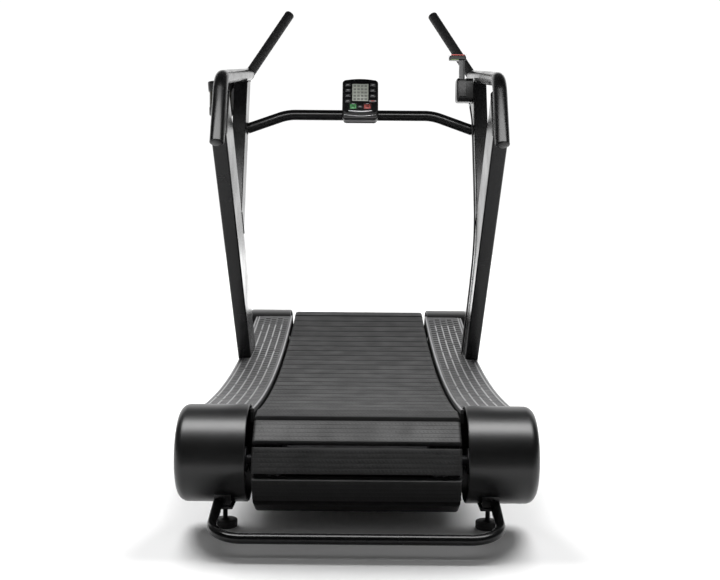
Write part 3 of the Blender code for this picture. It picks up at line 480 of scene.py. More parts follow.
def slat_profile():
    """A slat's outline across its width: eased corners and four fine grooves along the tread."""
    top, edge = SLAT_DEPTH, SLAT_HALF
    points = [(-edge + 0.0008, 0.0), (-edge, 0.0008), (-edge, top - 0.0024), (-edge + 0.0007, top - 0.0007),
              (-edge + 0.0024, top)]
    for groove in (-0.0168, -0.0056, 0.0056, 0.0168):
        points += [(groove - 0.0008, top), (groove - 0.0004, top - 0.0005),
                   (groove + 0.0004, top - 0.0005), (groove + 0.0008, top)]
    return points + [(-t, n) for t, n in reversed(points[:5])]


def unit_slat():
    """One slat in its own frame (x, t along the belt, n outwards), with five rows of tread lozenges."""
    made = Solid()
    rings = []
    ends = []
    for k in range(6):
        turn = math.radians(90 * k / 5)
        ends.append((SLAT_END - SLAT_END_ROUND + SLAT_END_ROUND * math.sin(turn),
                     SLAT_END_DROP * (1 - math.cos(turn))))
    for x, drop in [(-x, drop) for x, drop in reversed(ends)] + ends:
        keep = 1 - drop / SLAT_DEPTH
        rings.append([(x, t, n * keep) for t, n in slat_profile()])
    made.loft(rings)
    step, half_x, half_t, lean = 0.0092, 0.0031, 0.0032, 0.0016
    count = int(2 * (SLAT_END - SLAT_END_ROUND - 0.004) / step)
    for row, t in enumerate((-0.0224, -0.0112, 0.0, 0.0112, 0.0224)):
        tilt = lean if row % 2 else -lean
        for i in range(count):
            x = (i - (count - 1) / 2) * step + (0.25 if row % 2 else -0.25) * step
            foot = [(x - half_x - tilt, t - half_t), (x + half_x - tilt, t - half_t),
                    (x + half_x + tilt, t + half_t), (x - half_x + tilt, t + half_t)]
            head = [(x + (u - x) * 0.62, t + (v - t) * 0.66) for u, v in foot]
            made.loft([[(u, v, SLAT_DEPTH - 0.0002) for u, v in foot],
                       [(u, v, SLAT_DEPTH + 0.0003) for u, v in head]])
    return made


def in_place(shape, centre, phi, into):
    """Adds a copy of a slat-frame shape at a place on the belt."""
    start = len(into.verts)
    sine, cosine = math.sin(phi), math.cos(phi)
    into.verts += [(x, centre[0] + t * cosine + n * sine, centre[1] - t * sine + n * cosine)
                   for x, t, n in shape.verts]
    into.faces += [tuple(start + k for k in face) for face in shape.faces]


def belt():
    """Slats, the two toothed carrier belts and their screws, run by run, with no screws at the seams."""
    slat, screws = unit_slat(), Solid()
    for side in (-1, 1):
        for x in (0.181, 0.199):
            dome = [(0.0002, 0.0030), (0.0012, 0.0030), (0.0020, 0.0022), (0.0023, 0.0008)]
            screws.loft([[(side * x + u, PITCH / 2 + v, n) for u, v in circle((0.0, 0.0), r, 10)]
                         for n, r in dome])
    travelled, index = 0.0, 0
    for name, body, centre, radius, first, last in belt_runs():
        length = abs(radius * (last - first))
        bars, bolts, strips, own = Solid(), Solid(), Solid(), []
        while index < SLAT_COUNT and FIRST_SLAT + index * PITCH < travelled + length:
            phi = first + (FIRST_SLAT + index * PITCH - travelled) / radius
            own.append(phi)
            in_place(slat, polar(centre, radius, phi), phi, bars)
            index += 1
            if FIRST_SLAT + index * PITCH < travelled + length:
                in_place(screws, polar(centre, radius, phi), phi, bolts)
        travelled += length
        carrier(strips, centre, radius, own)
        piece(name + "_slats", bars, "slat", (name,), body=body, smooth=30)
        piece(name + "_carriers", strips, "carrier", body=body)
        piece(name + "_screws", bolts, "dark_steel", body=body)


def carrier(into, centre, radius, angles):
    """The two carrier belts under a run of slats, with a tooth under each slat's edges."""
    reach = (PITCH / 2 - 0.0008) / abs(radius)
    low, high = min(angles) - reach, max(angles) + reach
    steps = max(8, round(abs(radius) * (high - low) / 0.0065))
    outward = 1 if radius > 0 else -1
    for side in (-1, 1):
        x0, x1 = side * CARRIER_X[0], side * CARRIER_X[1]
        rings = []
        for i in range(steps + 1):
            phi = low + (high - low) * i / steps
            depth = 0.0040 if i % 2 else 0.0028
            inner = polar(centre, radius - outward * depth, phi)
            outer = polar(centre, radius + outward * 0.0004, phi)
            rings.append([(x0, *inner), (x1, *inner), (x1, *outer), (x0, *outer)])
        into.loft(rings)


# ---------------------------------------------------------------- foot rails


CELL_X = 0.0225
CELL_Y = 0.0250
COLUMNS = 5
TREAD_X = 0.2565
POCKET_DEPTH = 0.0017
PLATE_RISE = 0.0030
LIP_X = 0.2468
LIP_RISE = 0.0036
PATTERN = (0.040, 1.335)
RIB_SPAN = (0.030, 1.255)


def pocket(column, travel):
    """The tread's surface inside a column: pockets between cross bars, staggered from column to column."""
    v = (travel / CELL_Y + 0.5 * (column % 2)) % 1.0
    inside = 0.27 < v < 0.73 and PATTERN[0] < travel < PATTERN[1]
    return -POCKET_DEPTH if inside else 0.0


def fall(x):
    """How far the tread rolls down towards its outer shoulder."""
    over = max(0.0, x - 0.345)
    return -1.4 * over * over


def rail_section(travel):
    """The rail's outline at one place: patterned top from lip to shoulder, then skirt and underside."""
    points = [(LIP_X, -0.006), (LIP_X, LIP_RISE - 0.0014), (LIP_X + 0.0005, LIP_RISE - 0.0004),
              (LIP_X + 0.0016, LIP_RISE), (LIP_X + 0.0062, LIP_RISE), (LIP_X + 0.0074, LIP_RISE - 0.0003),
              (LIP_X + 0.0080, PLATE_RISE)]
    for column in range(COLUMNS):
        edge = TREAD_X + column * CELL_X
        for u, deep in ((0.12, 0), (0.16, 1), (0.50, 1), (0.84, 1), (0.88, 0)):
            x = edge + u * CELL_X
            points.append((x, PLATE_RISE + fall(x) + deep * pocket(column, travel)))
    shoulder = [(x, PLATE_RISE + fall(x)) for x in (0.3710, 0.3760, 0.3810)]
    return points + shoulder + [
        (0.3838, -0.0012), (0.3850, -0.0040), (0.3855, -0.0100), (0.3855, -0.046), (0.3820, -0.046),
        (0.3820, -0.0110), (0.3800, -0.0030), (0.3640, 0.0), (0.3500, 0.0002), (0.2545, 0.0),
        (0.2545, -0.006)]


def pocket_shade_pad(solid, side, column, travel):
    """A dark, round-cornered pad on the floor of one pocket: painted shade in the recess."""
    x = TREAD_X + (column + 0.5) * CELL_X
    base = PLATE_RISE + fall(x) - POCKET_DEPTH
    layers = []
    for rise, inset in ((base - 0.0002, 0.0), (base + 0.0004, 0.0), (base + 0.0006, 0.0004)):
        outline = rounded_rectangle(0.34 * CELL_X - inset, -0.0050 + inset, 0.0050 - inset, 0.0028, 3)
        layers.append([(side * (x + a), *deck_point(RAIL_Y[0] + travel + b, rise)) for a, b in outline])
    solid.loft(layers)


def along_deck(section, places):
    """Rings of an (x, rise) section at these places along the deck; section depends on the place."""
    return [[(x, *deck_point(y, rise)) for x, rise in section(y)] for y in places]


def rib_spans(boundary):
    """Where the ribs along one column edge start and stop, staggered from one edge to the next."""
    length, gap = 0.235, 0.016
    start = RIB_SPAN[0] - 0.095 * (boundary % 3)
    spans = []
    while start < RIB_SPAN[1]:
        low, high = max(start, RIB_SPAN[0]), min(start + length, RIB_SPAN[1])
        if high - low > 0.03:
            spans.append((low, high))
        start += length + gap
    return spans


def rib(solid, side, x, half, span, rise=0.0009):
    """A smooth raised bar along the rail with rounded ends."""
    low, high = span
    count = max(4, round((high - low) / 0.020))
    stops = [low, low + 0.0012, low + 0.0030]
    stops += [low + 0.005 + (high - low - 0.010) * i / count for i in range(count + 1)]
    stops += [high - 0.0030, high - 0.0012, high]
    rings = []
    for travel in stops:
        end = min(travel - low, high - travel, 0.0042) / 0.0042
        wide = half * (0.35 + 0.65 * math.sqrt(max(0.0, end * (2 - end))))
        base = PLATE_RISE + fall(x)
        top = base + rise * (0.4 + 0.6 * end)
        y = RAIL_Y[0] + travel
        rings.append([(side * (x + u * wide), *deck_point(y, n)) for u, n in
                      ((-1.0, base - 0.0005), (-0.85, base + 0.3 * rise), (-0.45, top), (0.45, top),
                       (0.85, base + 0.3 * rise), (1.0, base - 0.0005))])
    solid.loft(rings)


def foot_rails():
    """The side rails: a pocketed shell swept along the deck, dark pads of painted shade on the pocket floors, ribs
    whose light finish is a painted highlight, and a near-black inner strip of painted shade.
    """
    marks = sorted({round(RAIL_Y[0] + (k + d) * CELL_Y, 5) for k in range(-1, 56)
                    for d in (0.25, 0.30, 0.70, 0.75, -0.25, -0.20, 0.20)} | set(RAIL_Y))
    marks = [y for y in marks if RAIL_Y[0] <= y <= RAIL_Y[1]]
    for label, side in each_side():
        shell, ribs, liner, shade_pads = Solid(), Solid(), Solid(), Solid()
        shell.loft(along_deck(lambda y: [(side * x, rise) for x, rise in rail_section(y - RAIL_Y[0])], marks))
        piece(f"foot_rail_tread_{label}", shell, "rail", (f"foot_rail_{label}",), smooth=28)
        for column in range(COLUMNS):
            travel = (0.5 if column % 2 == 0 else 1.0) * CELL_Y
            while travel < PATTERN[1]:
                if travel > PATTERN[0] + 0.006:
                    pocket_shade_pad(shade_pads, side, column, travel)
                travel += CELL_Y
        # The dark pads are painted shade in the pockets.
        piece(f"foot_rail_slots_{label}", shade_pads, "slots", smooth=40)
        for boundary in range(1, COLUMNS):
            for span in rib_spans(boundary):
                rib(ribs, side, TREAD_X + boundary * CELL_X, 0.0024, span)
        for x in (0.3700, 0.3795):
            rib(ribs, side, x, 0.0022, (0.006, RAIL_Y[1] - RAIL_Y[0] - 0.010))
        rib(ribs, side, LIP_X + 0.0040, 0.0028, (0.004, RAIL_Y[1] - RAIL_Y[0] - 0.006), 0.0012)
        # The light finish on the ribs is a painted highlight.
        piece(f"foot_rail_ribs_{label}", ribs, "rib", smooth=60)
        # A near-black strip on the rail's inner face: painted shade in the gap beside the slat ends.
        strip = [(side * x, rise) for x, rise in
                 ((0.2486, -0.030), (0.2486, -0.0048), (0.2550, -0.0048), (0.2550, -0.030))]
        liner.loft(along_deck(lambda y: strip, marks[::4] + [marks[-1]]))
        piece(f"foot_rail_liner_{label}", liner, "liner", smooth=30)


# ---------------------------------------------------------------- covers


def cover_profile(side):
    """Half-section of a cover as (x, radius): open rim, barrel, outer fillet, end face and inner wall."""
    x0, x1 = COVER_X
    outer = [(x0, COVER_R - 0.0030), (x0 + 0.0006, COVER_R - 0.0012), (x0 + 0.0022, COVER_R)]
    inner = []
    for k in range(13):
        angle = math.radians(90 - 90 * k / 12)
        outer.append((x1 - COVER_FILLET + COVER_FILLET * math.cos(angle),
                      COVER_R - COVER_FILLET + COVER_FILLET * math.sin(angle)))
        inner.append((x1 - COVER_FILLET + (COVER_FILLET - COVER_WALL) * math.cos(angle),
                      COVER_R - COVER_FILLET + (COVER_FILLET - COVER_WALL) * math.sin(angle)))
    face = [(x1, 0.078), (x1 - 0.0012, 0.0765), (x1 - 0.0012, 0.0735), (x1, 0.072), (x1 + 0.0006, 0.050),
            (x1 + 0.0009, 0.020), (x1 + 0.001, 0.0006)]
    back = [(x1 - COVER_WALL, 0.0006)]
    profile = outer + face + back + inner[::-1] + [(x0, COVER_R - COVER_WALL)]
    return [(side * x, r) for x, r in profile]


SCREW_HEAD = ((-0.001, 0.0048), (0.0006, 0.0046), (0.0014, 0.0036), (0.0014, 0.0020), (0.0004, 0.0017))


def covers():
    for label, side in each_side():
        for end, centre in (("rear", REAR_COVER), ("front", FRONT_COVER)):
            name = f"{end}_cover_{label}"
            shell = Solid().turned(cover_profile(side), centre, 128, ring=True)
            piece(name + "_shell", shell, "cover", (name,), smooth=30)
            fittings = Solid()
            for k in range(3):
                spot = polar(centre, 0.060, math.radians(60 + 120 * k))
                x = side * (COVER_X[1] + 0.0006)
                fittings.turned([(x + side * u, r) for u, r in SCREW_HEAD], spot, 18)
            piece(name + "_screws", fittings, "zinc", smooth=25)


# ---------------------------------------------------------------- uprights, handrails, bars


def handrail_lines():
    return line_through(HANDRAIL_LOW, HANDRAIL_BEND), line_through(HANDRAIL_BEND, HANDRAIL_END)


def upright_outline():
    rear = shifted(UPRIGHT_LINE, -UPRIGHT_HALF)
    front = shifted(UPRIGHT_LINE, UPRIGHT_HALF)
    foot = ((0.0, 0.200), 0.0)
    top = shifted(handrail_lines()[0], -HANDRAIL_R)
    return [meet(rear, foot), meet(front, foot), meet(front, top), meet(rear, top)]


def strut_outline():
    rear = shifted(STRUT_LINE, STRUT_HALF)
    front = shifted(STRUT_LINE, -STRUT_HALF)
    foot = shifted(UPRIGHT_LINE, UPRIGHT_HALF)
    top = shifted(handrail_lines()[1], -HANDRAIL_R)
    return [meet(rear, foot), meet(front, foot), meet(front, top), meet(rear, top)]


FOOT_GUSSET = ((1.080, 0.205), (1.190, 0.205), (1.150, 0.250), (1.050, 0.250))


def uprights():
    """Uprights and struts: flat-sided tubes with rounded corners and weld beads."""
    for label, side in each_side():
        x0, x1 = side * BAR_X[0], side * BAR_X[1]
        upright, strut = upright_outline(), strut_outline()
        for name, outline in (("rear_upright", upright), ("front_strut", strut)):
            bar = Solid().prism(outline, x0, x1)
            if name == "rear_upright":
                bar.prism(FOOT_GUSSET, side * 0.3303, side * 0.350)
            piece(f"{name}_tube_{label}", bar, "powder", (f"{name}_{label}",), bevel=0.0042, segments=4)
        beads = Solid()
        inset = 0.0035
        for outline, ends in ((upright, (2, 3)), (strut, (2, 3)), (strut, (0, 1))):
            a, b = (Vector(outline[k]) for k in ends)
            near, far = a.lerp(b, 0.04), a.lerp(b, 0.96)
            loop = [(side * x, *spot) for x, spot in (
                (BAR_X[0] + inset, a), (BAR_X[1] - inset, a), (BAR_X[1], near), (BAR_X[1], far),
                (BAR_X[1] - inset, b), (BAR_X[0] + inset, b), (BAR_X[0], far), (BAR_X[0], near),
                (BAR_X[0] + inset, a))]
            beads.bead(loop)
        piece(f"upright_welds_{label}", beads, "powder")


def handrails():
    """Bent top rails with a domed plug in each low end."""
    for label, side in each_side():
        x = side * TUBE_X
        points = [(x, *HANDRAIL_LOW), (x, *HANDRAIL_BEND), (x, *HANDRAIL_END)]
        rail = Solid().tube(filleted(points, 0.075, 18), HANDRAIL_R, 48)
        piece(f"handrail_tube_{label}", rail, "powder", (f"handrail_{label}",), bevel=0.0012, segments=2)
        low, bend = Vector(points[0]), Vector(points[1])
        outward = (low - bend).normalized()
        ends = [low - outward * 0.002, low + outward * 0.0006]
        plug = Solid().tube(ends, HANDRAIL_R - 0.0022, 40, cap=0.0022)
        piece(f"handrail_plug_{label}", plug, "housing")


def grips():
    """Forward grips: a collar on the handrail's end, then a ribbed foam sleeve to a domed tip."""
    ahead = (Vector((0.0, *HANDRAIL_END)) - Vector((0.0, *HANDRAIL_BEND))).normalized()
    for label, side in each_side():
        root = Vector((side * TUBE_X, *HANDRAIL_END)) + ahead * 0.0003
        corner = root + ahead * 0.030
        tip = Vector((side * GRIP_TIP[0], GRIP_TIP[1], GRIP_TIP[2]))
        path = filleted([root, corner, tip], 0.030, 14)
        straight = path[-2]
        fine = path[:-1]
        radii = [GRIP_R] * len(fine)
        for i in range(1, 91):
            fine.append(straight.lerp(tip, i / 90))
            groove = 10 < i < 84 and i % 6 == 0
            radii.append(GRIP_R - (0.0006 if groove else 0.0))
        made = Solid().tube(fine, radii, 44, cap=0.006)
        piece(f"grip_sleeve_{label}", made, "grip", (f"grip_{label}",), smooth=50)
        low, high = HANDRAIL_R - 0.0008, HANDRAIL_R + 0.0006
        stations = [root + ahead * reach for reach in (0.0, 0.0009, 0.0032, 0.0042)]
        collar = Solid().tube(stations, [low, high, high, low], 48)
        piece(f"grip_collar_{label}", collar, "housing")


def crossbar():
    end = BAR_X[0] - 0.0003
    points = [(-end, CROSSBAR_Y, CROSSBAR_END_Z), (-CROSSBAR_BEND_X, CROSSBAR_Y, CROSSBAR_Z),
              (CROSSBAR_BEND_X, CROSSBAR_Y, CROSSBAR_Z), (end, CROSSBAR_Y, CROSSBAR_END_Z)]
    bar = Solid().tube(filleted(points, CROSSBAR_BEND_R, 14), CROSSBAR_R, 44)
    piece("crossbar_tube", bar, "powder", ("crossbar",), smooth=60)
    beads = Solid()
    for _, side in each_side():
        loop = [(side * end, CROSSBAR_Y + u * 1.03, CROSSBAR_END_Z + v * 1.08)
                for u, v in circle((0.0, 0.0), CROSSBAR_R, 28)]
        beads.bead(loop + [loop[0]], 0.0018, 0.003)
    piece("crossbar_welds", beads, "powder")


PAN_Y, PAN_HALF, PAN_FOOT, PAN_FLANGE, PAN_SHEET = 0.300, 0.286, 0.070, 0.018, 0.0015


def belt_pan():
    """A folded near-black sheet across the frame ahead of the rear drum, which closes the view through the belt:
    painted shade in the belt's gaps.
    """
    head = deck_point(PAN_Y, -0.032)[1]
    outline = [(PAN_Y, PAN_FOOT), (PAN_Y + PAN_SHEET, PAN_FOOT), (PAN_Y + PAN_SHEET, head - PAN_SHEET),
               (PAN_Y + PAN_FLANGE, head - PAN_SHEET), (PAN_Y + PAN_FLANGE, head), (PAN_Y, head)]
    # The near-black sheet is painted shade in the belt's gaps.
    piece("belt_pan", Solid().prism(outline, -PAN_HALF, PAN_HALF), "liner", bevel=0.0004)


# ---------------------------------------------------------------- floor gear


LIFT_R = 0.0115
LIFT_LOW = (0.316, -0.135, 0.040)
LIFT_END = (0.320, 0.0376, 0.0695)
LEG_PLATE = ((0.285, 0.032, 0.0565), (0.334, 0.120, 0.0622))


def lift_handle():
    """The tube loop behind the deck, falling away from the plate under each rear leg."""
    x, y, z = LIFT_LOW
    end = Vector(LIFT_END)
    path = filleted([end, (x, y, z), (-x, y, z), (-end.x, end.y, end.z)], 0.075, 20)
    loop = Solid().tube(path, LIFT_R, 36)
    piece("lift_handle_loop", loop, "powder", ("rear_lift_handle",), smooth=60)
    plates, beads = Solid(), Solid()
    (x0, y0, z0), (x1, y1, z1) = LEG_PLATE
    for _, side in each_side():
        low, high = sorted((side * x0, side * x1))
        plates.box((low, y0, z0), (high, y1, z1))
        beads.bead([(side * x, y0 + 0.001, z1) for x in (end.x - LIFT_R, end.x + LIFT_R)], 0.002, 0.003)
    piece("lift_handle_plates", plates, "powder", bevel=0.0020)
    piece("lift_handle_welds", beads, "powder")


def thread(z0, z1, radius, pitch=0.00125):
    """A threaded rod's profile of (z, radius)."""
    count = round((z1 - z0) / pitch)
    profile = []
    for i in range(count):
        profile += [(z0 + i * pitch, radius - 0.0006), (z0 + (i + 0.5) * pitch, radius)]
    return profile + [(z0 + count * pitch, radius - 0.0006)]


def hexagon(solid, x, y, z0, z1, flat):
    """A nut with chamfered corners."""
    rings = []
    for z, k in ((z0, 0.90), (z0 + 0.001, 1.0), (z1 - 0.001, 1.0), (z1, 0.90)):
        rings.append([(x + u * k, y + v * k, z) for u, v in circle((0.0, 0.0), flat / math.sqrt(3), 6)])
    solid.loft(rings)


def feet():
    """Levelling feet: a domed rubber pad, a threaded stud and a nut."""
    for end in ("rear", "front"):
        for label, _ in each_side():
            name = f"{end}_foot_{label}"
            low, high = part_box(name)
            x = (low.x + high.x) / 2 - SHIFT.x
            y = (low.y + high.y) / 2 - SHIFT.y
            top = high.z
            pad = [(0.0, 0.0268), (0.0010, 0.0280), (0.0025, 0.0285), (0.0060, 0.0285), (0.0066, 0.0279),
                   (0.0078, 0.0279), (0.0084, 0.0285), (0.0155, 0.0285), (0.0172, 0.0278), (0.0180, 0.0262),
                   (0.0177, 0.0150), (0.0186, 0.0105), (0.0200, 0.0085), (0.0206, 0.0040)]
            body = name + "_body"
            piece(name + "_pad", Solid().standing(pad, x, y, 56), "wheel", (name,), body=body)
            profile = [(0.0170, 0.0045)] + thread(0.0190, top - 0.001, 0.0058) + [(top, 0.0042)]
            rod = Solid().standing(profile, x, y, 24)
            hexagon(rod, x, y, 0.0460, 0.0530, 0.0185)
            piece(name + "_stud", rod, "dark_steel", body=body, smooth=20)


def wheels():
    """Transport wheels: a rounded tyre on a ribbed hub."""
    for label, _ in each_side():
        name = f"transport_wheel_{label}"
        low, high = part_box(name)
        middle = (low + high) / 2 - SHIFT
        centre = (middle.y, middle.z)
        tyre = [(-0.0135, 0.0245), (-0.0150, 0.0300), (-0.0140, 0.0333), (-0.0105, 0.0349), (-0.0022, 0.0350),
                (-0.0016, 0.0342), (0.0016, 0.0342), (0.0022, 0.0350), (0.0105, 0.0349), (0.0140, 0.0333),
                (0.0150, 0.0300), (0.0135, 0.0245)]
        body = f"wheel_{label}"
        piece(name + "_tyre", Solid().turned([(middle.x + x, r) for x, r in tyre], centre, 56, ring=True),
              "wheel", (name,), body=body, smooth=50)
        hub = [(-0.0148, 0.0066), (-0.0148, 0.0100), (-0.0090, 0.0115), (-0.0080, 0.0225), (-0.0120, 0.0240),
               (-0.0120, 0.0250), (0.0120, 0.0250), (0.0120, 0.0240), (0.0080, 0.0225), (0.0090, 0.0115),
               (0.0148, 0.0100), (0.0148, 0.0066)]
        made = Solid().turned([(middle.x + x, r) for x, r in hub], centre, 48, ring=True)
        for k in range(6):
            turn = math.radians(60 * k)
            along = Vector((math.sin(turn), math.cos(turn)))
            across = Vector((along.y, -along.x)) * 0.0012
            a, b = Vector(centre) + along * 0.0105, Vector(centre) + along * 0.0235
            made.prism([tuple(a - across), tuple(b - across), tuple(b + across), tuple(a + across)],
                       middle.x - 0.0125, middle.x + 0.0125)
        piece(name + "_hub", made, "lever", body=body, smooth=30)


# ---------------------------------------------------------------- console


def console_point(u, v, w):
    """Console coordinates (U across, V up the face, W out of it) to the deck frame."""
    sine, cosine = math.sin(CONSOLE_TILT), math.cos(CONSOLE_TILT)
    return (u, CROSSBAR_Y + v * sine - w * cosine, CROSSBAR_Z + v * cosine + w * sine)


def offset_outline(outline, inset):
    """An outline moved inwards by inset, along its own normals."""
    made = []
    count = len(outline)
    for i, (u, v) in enumerate(outline):
        before, after = Vector(outline[i - 1]), Vector(outline[(i + 1) % count])
        along = (after - before).normalized()
        made.append((u - along.y * inset, v + along.x * inset))
    return made


def slab(solid, outline, layers):
    """An outline of the face plane stacked through layers of (w, inset)."""
    return solid.loft([[console_point(u, v, w) for u, v in offset_outline(outline, inset)]
                       for w, inset in layers])


def rounding(radius):
    """A rounded edge from its face inwards, as (depth, inset)."""
    turns = [math.radians(18 * k) for k in range(6)]
    return [(radius * (1 - math.cos(turn)), radius * (1 - math.sin(turn))) for turn in turns]


def quarter(w_edge, radius, steps=6):
    """Layers of (w, inset) that round an edge off towards w_edge."""
    layers = []
    for i in range(steps + 1):
        turn = math.radians(90 * i / steps)
        layers.append((w_edge - radius * (1 - math.sin(turn)), radius * (1 - math.cos(turn))))
    return layers


FACE_W = 0.022
BACK_W = -0.0185
FACE_LOW, FACE_TOP = -0.0225, 0.111
FACE_HALF = 0.055
LENS_V = 0.0664
LENS_HALF = (0.0248, 0.0290)
KEY_ROWS = tuple(0.0925 - 0.0183 * i for i in range(4))
SIDE_KEY = (0.0085, 0.0052)
BIG_KEY = (0.0092, 0.0070)
LOW_KEYS_V = 0.0187
BIG_KEY_U = 0.0215
SIDE_KEYS_U = 0.038


def console():
    """The console's housing, its dark overlay with raised surrounds, display and lower trim."""
    face = rounded_rectangle(FACE_HALF, FACE_LOW, FACE_TOP, 0.012, 8, arch=0.004)
    back = rounded_rectangle(FACE_HALF - 0.003, FACE_LOW + 0.003, FACE_TOP - 0.003, 0.010, 8, arch=0.004)
    shell = Solid()
    slab(shell, face, [(0.0003, 0.0012), (0.0016, 0.0)] + quarter(FACE_W, 0.0050))
    piece("console_front_shell", shell, "housing", ("console_front",), smooth=50)
    shell = Solid()
    slab(shell, back, [(BACK_W + depth, inset) for depth, inset in rounding(0.006)]
         + [(-0.0016, 0.0), (0.0, 0.001)])
    piece("console_back_shell", shell, "housing", ("console_back",), smooth=50)
    plate = rounded_rectangle(0.0500, -0.0010, FACE_TOP - 0.004, 0.009, 8, arch=0.003)
    cover = Solid()
    slab(cover, plate, [(FACE_W - 0.0010, 0.0), (FACE_W + 0.0002, 0.0), (FACE_W + 0.0005, 0.0005)])
    piece("console_overlay", cover, "overlay", smooth=30)
    key_surrounds()
    console_display()
    console_trim()


def pad(solid, u, v, edges, corner, steps, layers):
    """A round-cornered pad about u, v on the console: edges are its half width, foot and head; layers are
    (height over the face, inset)."""
    outline = [(u + a, v + b) for a, b in rounded_rectangle(*edges, corner, steps)]
    return slab(solid, outline, [(FACE_W + height, inset) for height, inset in layers])


def rim(outline, height, width):
    """A raised frame along an outline of the console's face."""
    layers = ((0.0, 0.0), (height, 0.0004), (height, width - 0.0004), (0.0, width))
    return Solid().loft([[console_point(u, v, FACE_W + w) for u, v in offset_outline(outline, inset)]
                         for w, inset in layers], ring_closed=True)


def key_surrounds():
    """Raised frame round the display, and the tinted panels with their dashes round the two big keys."""
    half_u, half_v = LENS_HALF
    window = rounded_rectangle(half_u + 0.0022, LENS_V - half_v - 0.0022, LENS_V + half_v + 0.0022, 0.003, 5)
    piece("console_display_frame", rim(window, 0.0010, 0.0018), "housing", smooth=30)
    wide, tall = BIG_KEY
    for label, u, finish, slot in (("start", -BIG_KEY_U, "deep_green", "key_green"),
                                   ("stop", BIG_KEY_U, "deep_red", "key_red")):
        panel = pad(Solid(), u, LOW_KEYS_V, (wide + 0.0034, -tall - 0.0024, tall + 0.0044), 0.003, 5,
                    [(0.0004, 0.0), (0.0007, 0.0003)])
        piece(f"console_{label}_panel", panel, finish, smooth=30)
        dash = pad(Solid(), u, LOW_KEYS_V + tall + 0.0024, (0.0044, -0.0009, 0.0009), 0.0008, 3,
                   [(0.0006, 0.0), (0.0010, 0.0)])
        piece(f"console_{label}_dash", dash, "mark", smooth=30)


def console_display():
    """The display window with its blank fields, over the CAD lens."""
    half_u, half_v = LENS_HALF
    glass = pad(Solid(), 0.0, LENS_V, (half_u, -half_v, half_v), 0.0015, 4,
                [(-0.0026, 0.0), (0.0004, 0.0), (0.0007, 0.0006)])
    piece("console_window", glass, "display", ("console_lens",), smooth=30)
    fields = Solid()
    for row in range(5):
        for column in range(4):
            pad(fields, (column - 1.5) * 0.0112, LENS_V + half_v - 0.0070 - 0.0112 * row,
                (0.0040, -0.0034, 0.0034), 0.0008, 2, [(0.0004, 0.0), (0.00085, 0.0)])
    piece("console_fields", fields, "segment", smooth=30)


def console_trim():
    """The silvery arc under the keys, the lip of the rounded chin, whose bright finish is a painted highlight
    line, and the status lamp's bezel.
    """
    arc, chin = [], []
    for i in range(25):
        share = i / 12 - 1
        arc.append(console_point(0.0364 * share, 0.0020 + 0.0030 * share * share, FACE_W + 0.0004))
    for i in range(33):
        share = i / 16 - 1
        chin.append(console_point(0.0480 * share, -0.0130 + 0.0050 * share * share, FACE_W - 0.0002))
    strip = Solid().tube(arc, [0.0026 * math.sin(math.pi * min(1.0, (k + 1) / 3, (25 - k) / 3) / 2)
                               for k in range(25)], 12)
    piece("console_arc", strip, "bright", smooth=60)
    # The bright lip along the chin is a painted highlight line.
    lip = Solid().tube(chin, [0.0011] * 33, 10, cap=0.001)
    piece("console_chin_highlight", lip, "bright", smooth=60)
    for name, half_u, half_v, top, finish in (("console_lamp_bezel", 0.0112, 0.0026, 0.0008, "mark"),
                                              ("console_lamp", 0.0060, 0.0014, 0.0014, "red")):
        lamp = pad(Solid(), SIDE_KEYS_U, KEY_ROWS[3], (half_u, -half_v, half_v), half_v * 0.8, 4,
                   [(0.0, 0.0), (top - 0.0003, 0.0), (top, 0.0003)])
        piece(name, lamp, finish, smooth=40)


def keys():
    """Every key as a crowned cap, the grey ones with a small blank mark, riding on its own body."""
    table = [(f"key_left_{i + 1}", -SIDE_KEYS_U, KEY_ROWS[i], *SIDE_KEY, "key") for i in range(4)]
    table += [(f"key_right_{i + 1}", SIDE_KEYS_U, KEY_ROWS[i], *SIDE_KEY, "key") for i in range(3)]
    table += [("start_key", -BIG_KEY_U, LOW_KEYS_V, *BIG_KEY, "green"),
              ("stop_key", BIG_KEY_U, LOW_KEYS_V, *BIG_KEY, "red"),
              ("mode_key", 0.0, LOW_KEYS_V, 0.0070, 0.0040, "key")]
    for name, u, v, half_u, half_v, finish in table:
        crown = [(-0.0018, 0.0)] + quarter(0.0016, 0.0011, 4) + [(0.00185, min(half_u, half_v) * 0.7)]
        cap = pad(Solid(), u, v, (half_u, -half_v, half_v), 0.0022, 5, crown)
        piece(name + "_cap", cap, finish, (name,), body=name + "_body", smooth=50)
        if finish == "key":
            mark = pad(Solid(), u, v, (half_u * 0.52, -half_v * 0.20, half_v * 0.20), half_v * 0.18, 3,
                       [(0.0017, 0.0), (0.0020, 0.0)])
            piece(name + "_mark", mark, "mark", body=name + "_body", smooth=40)


# ---------------------------------------------------------------- lever, bottle holder, cable


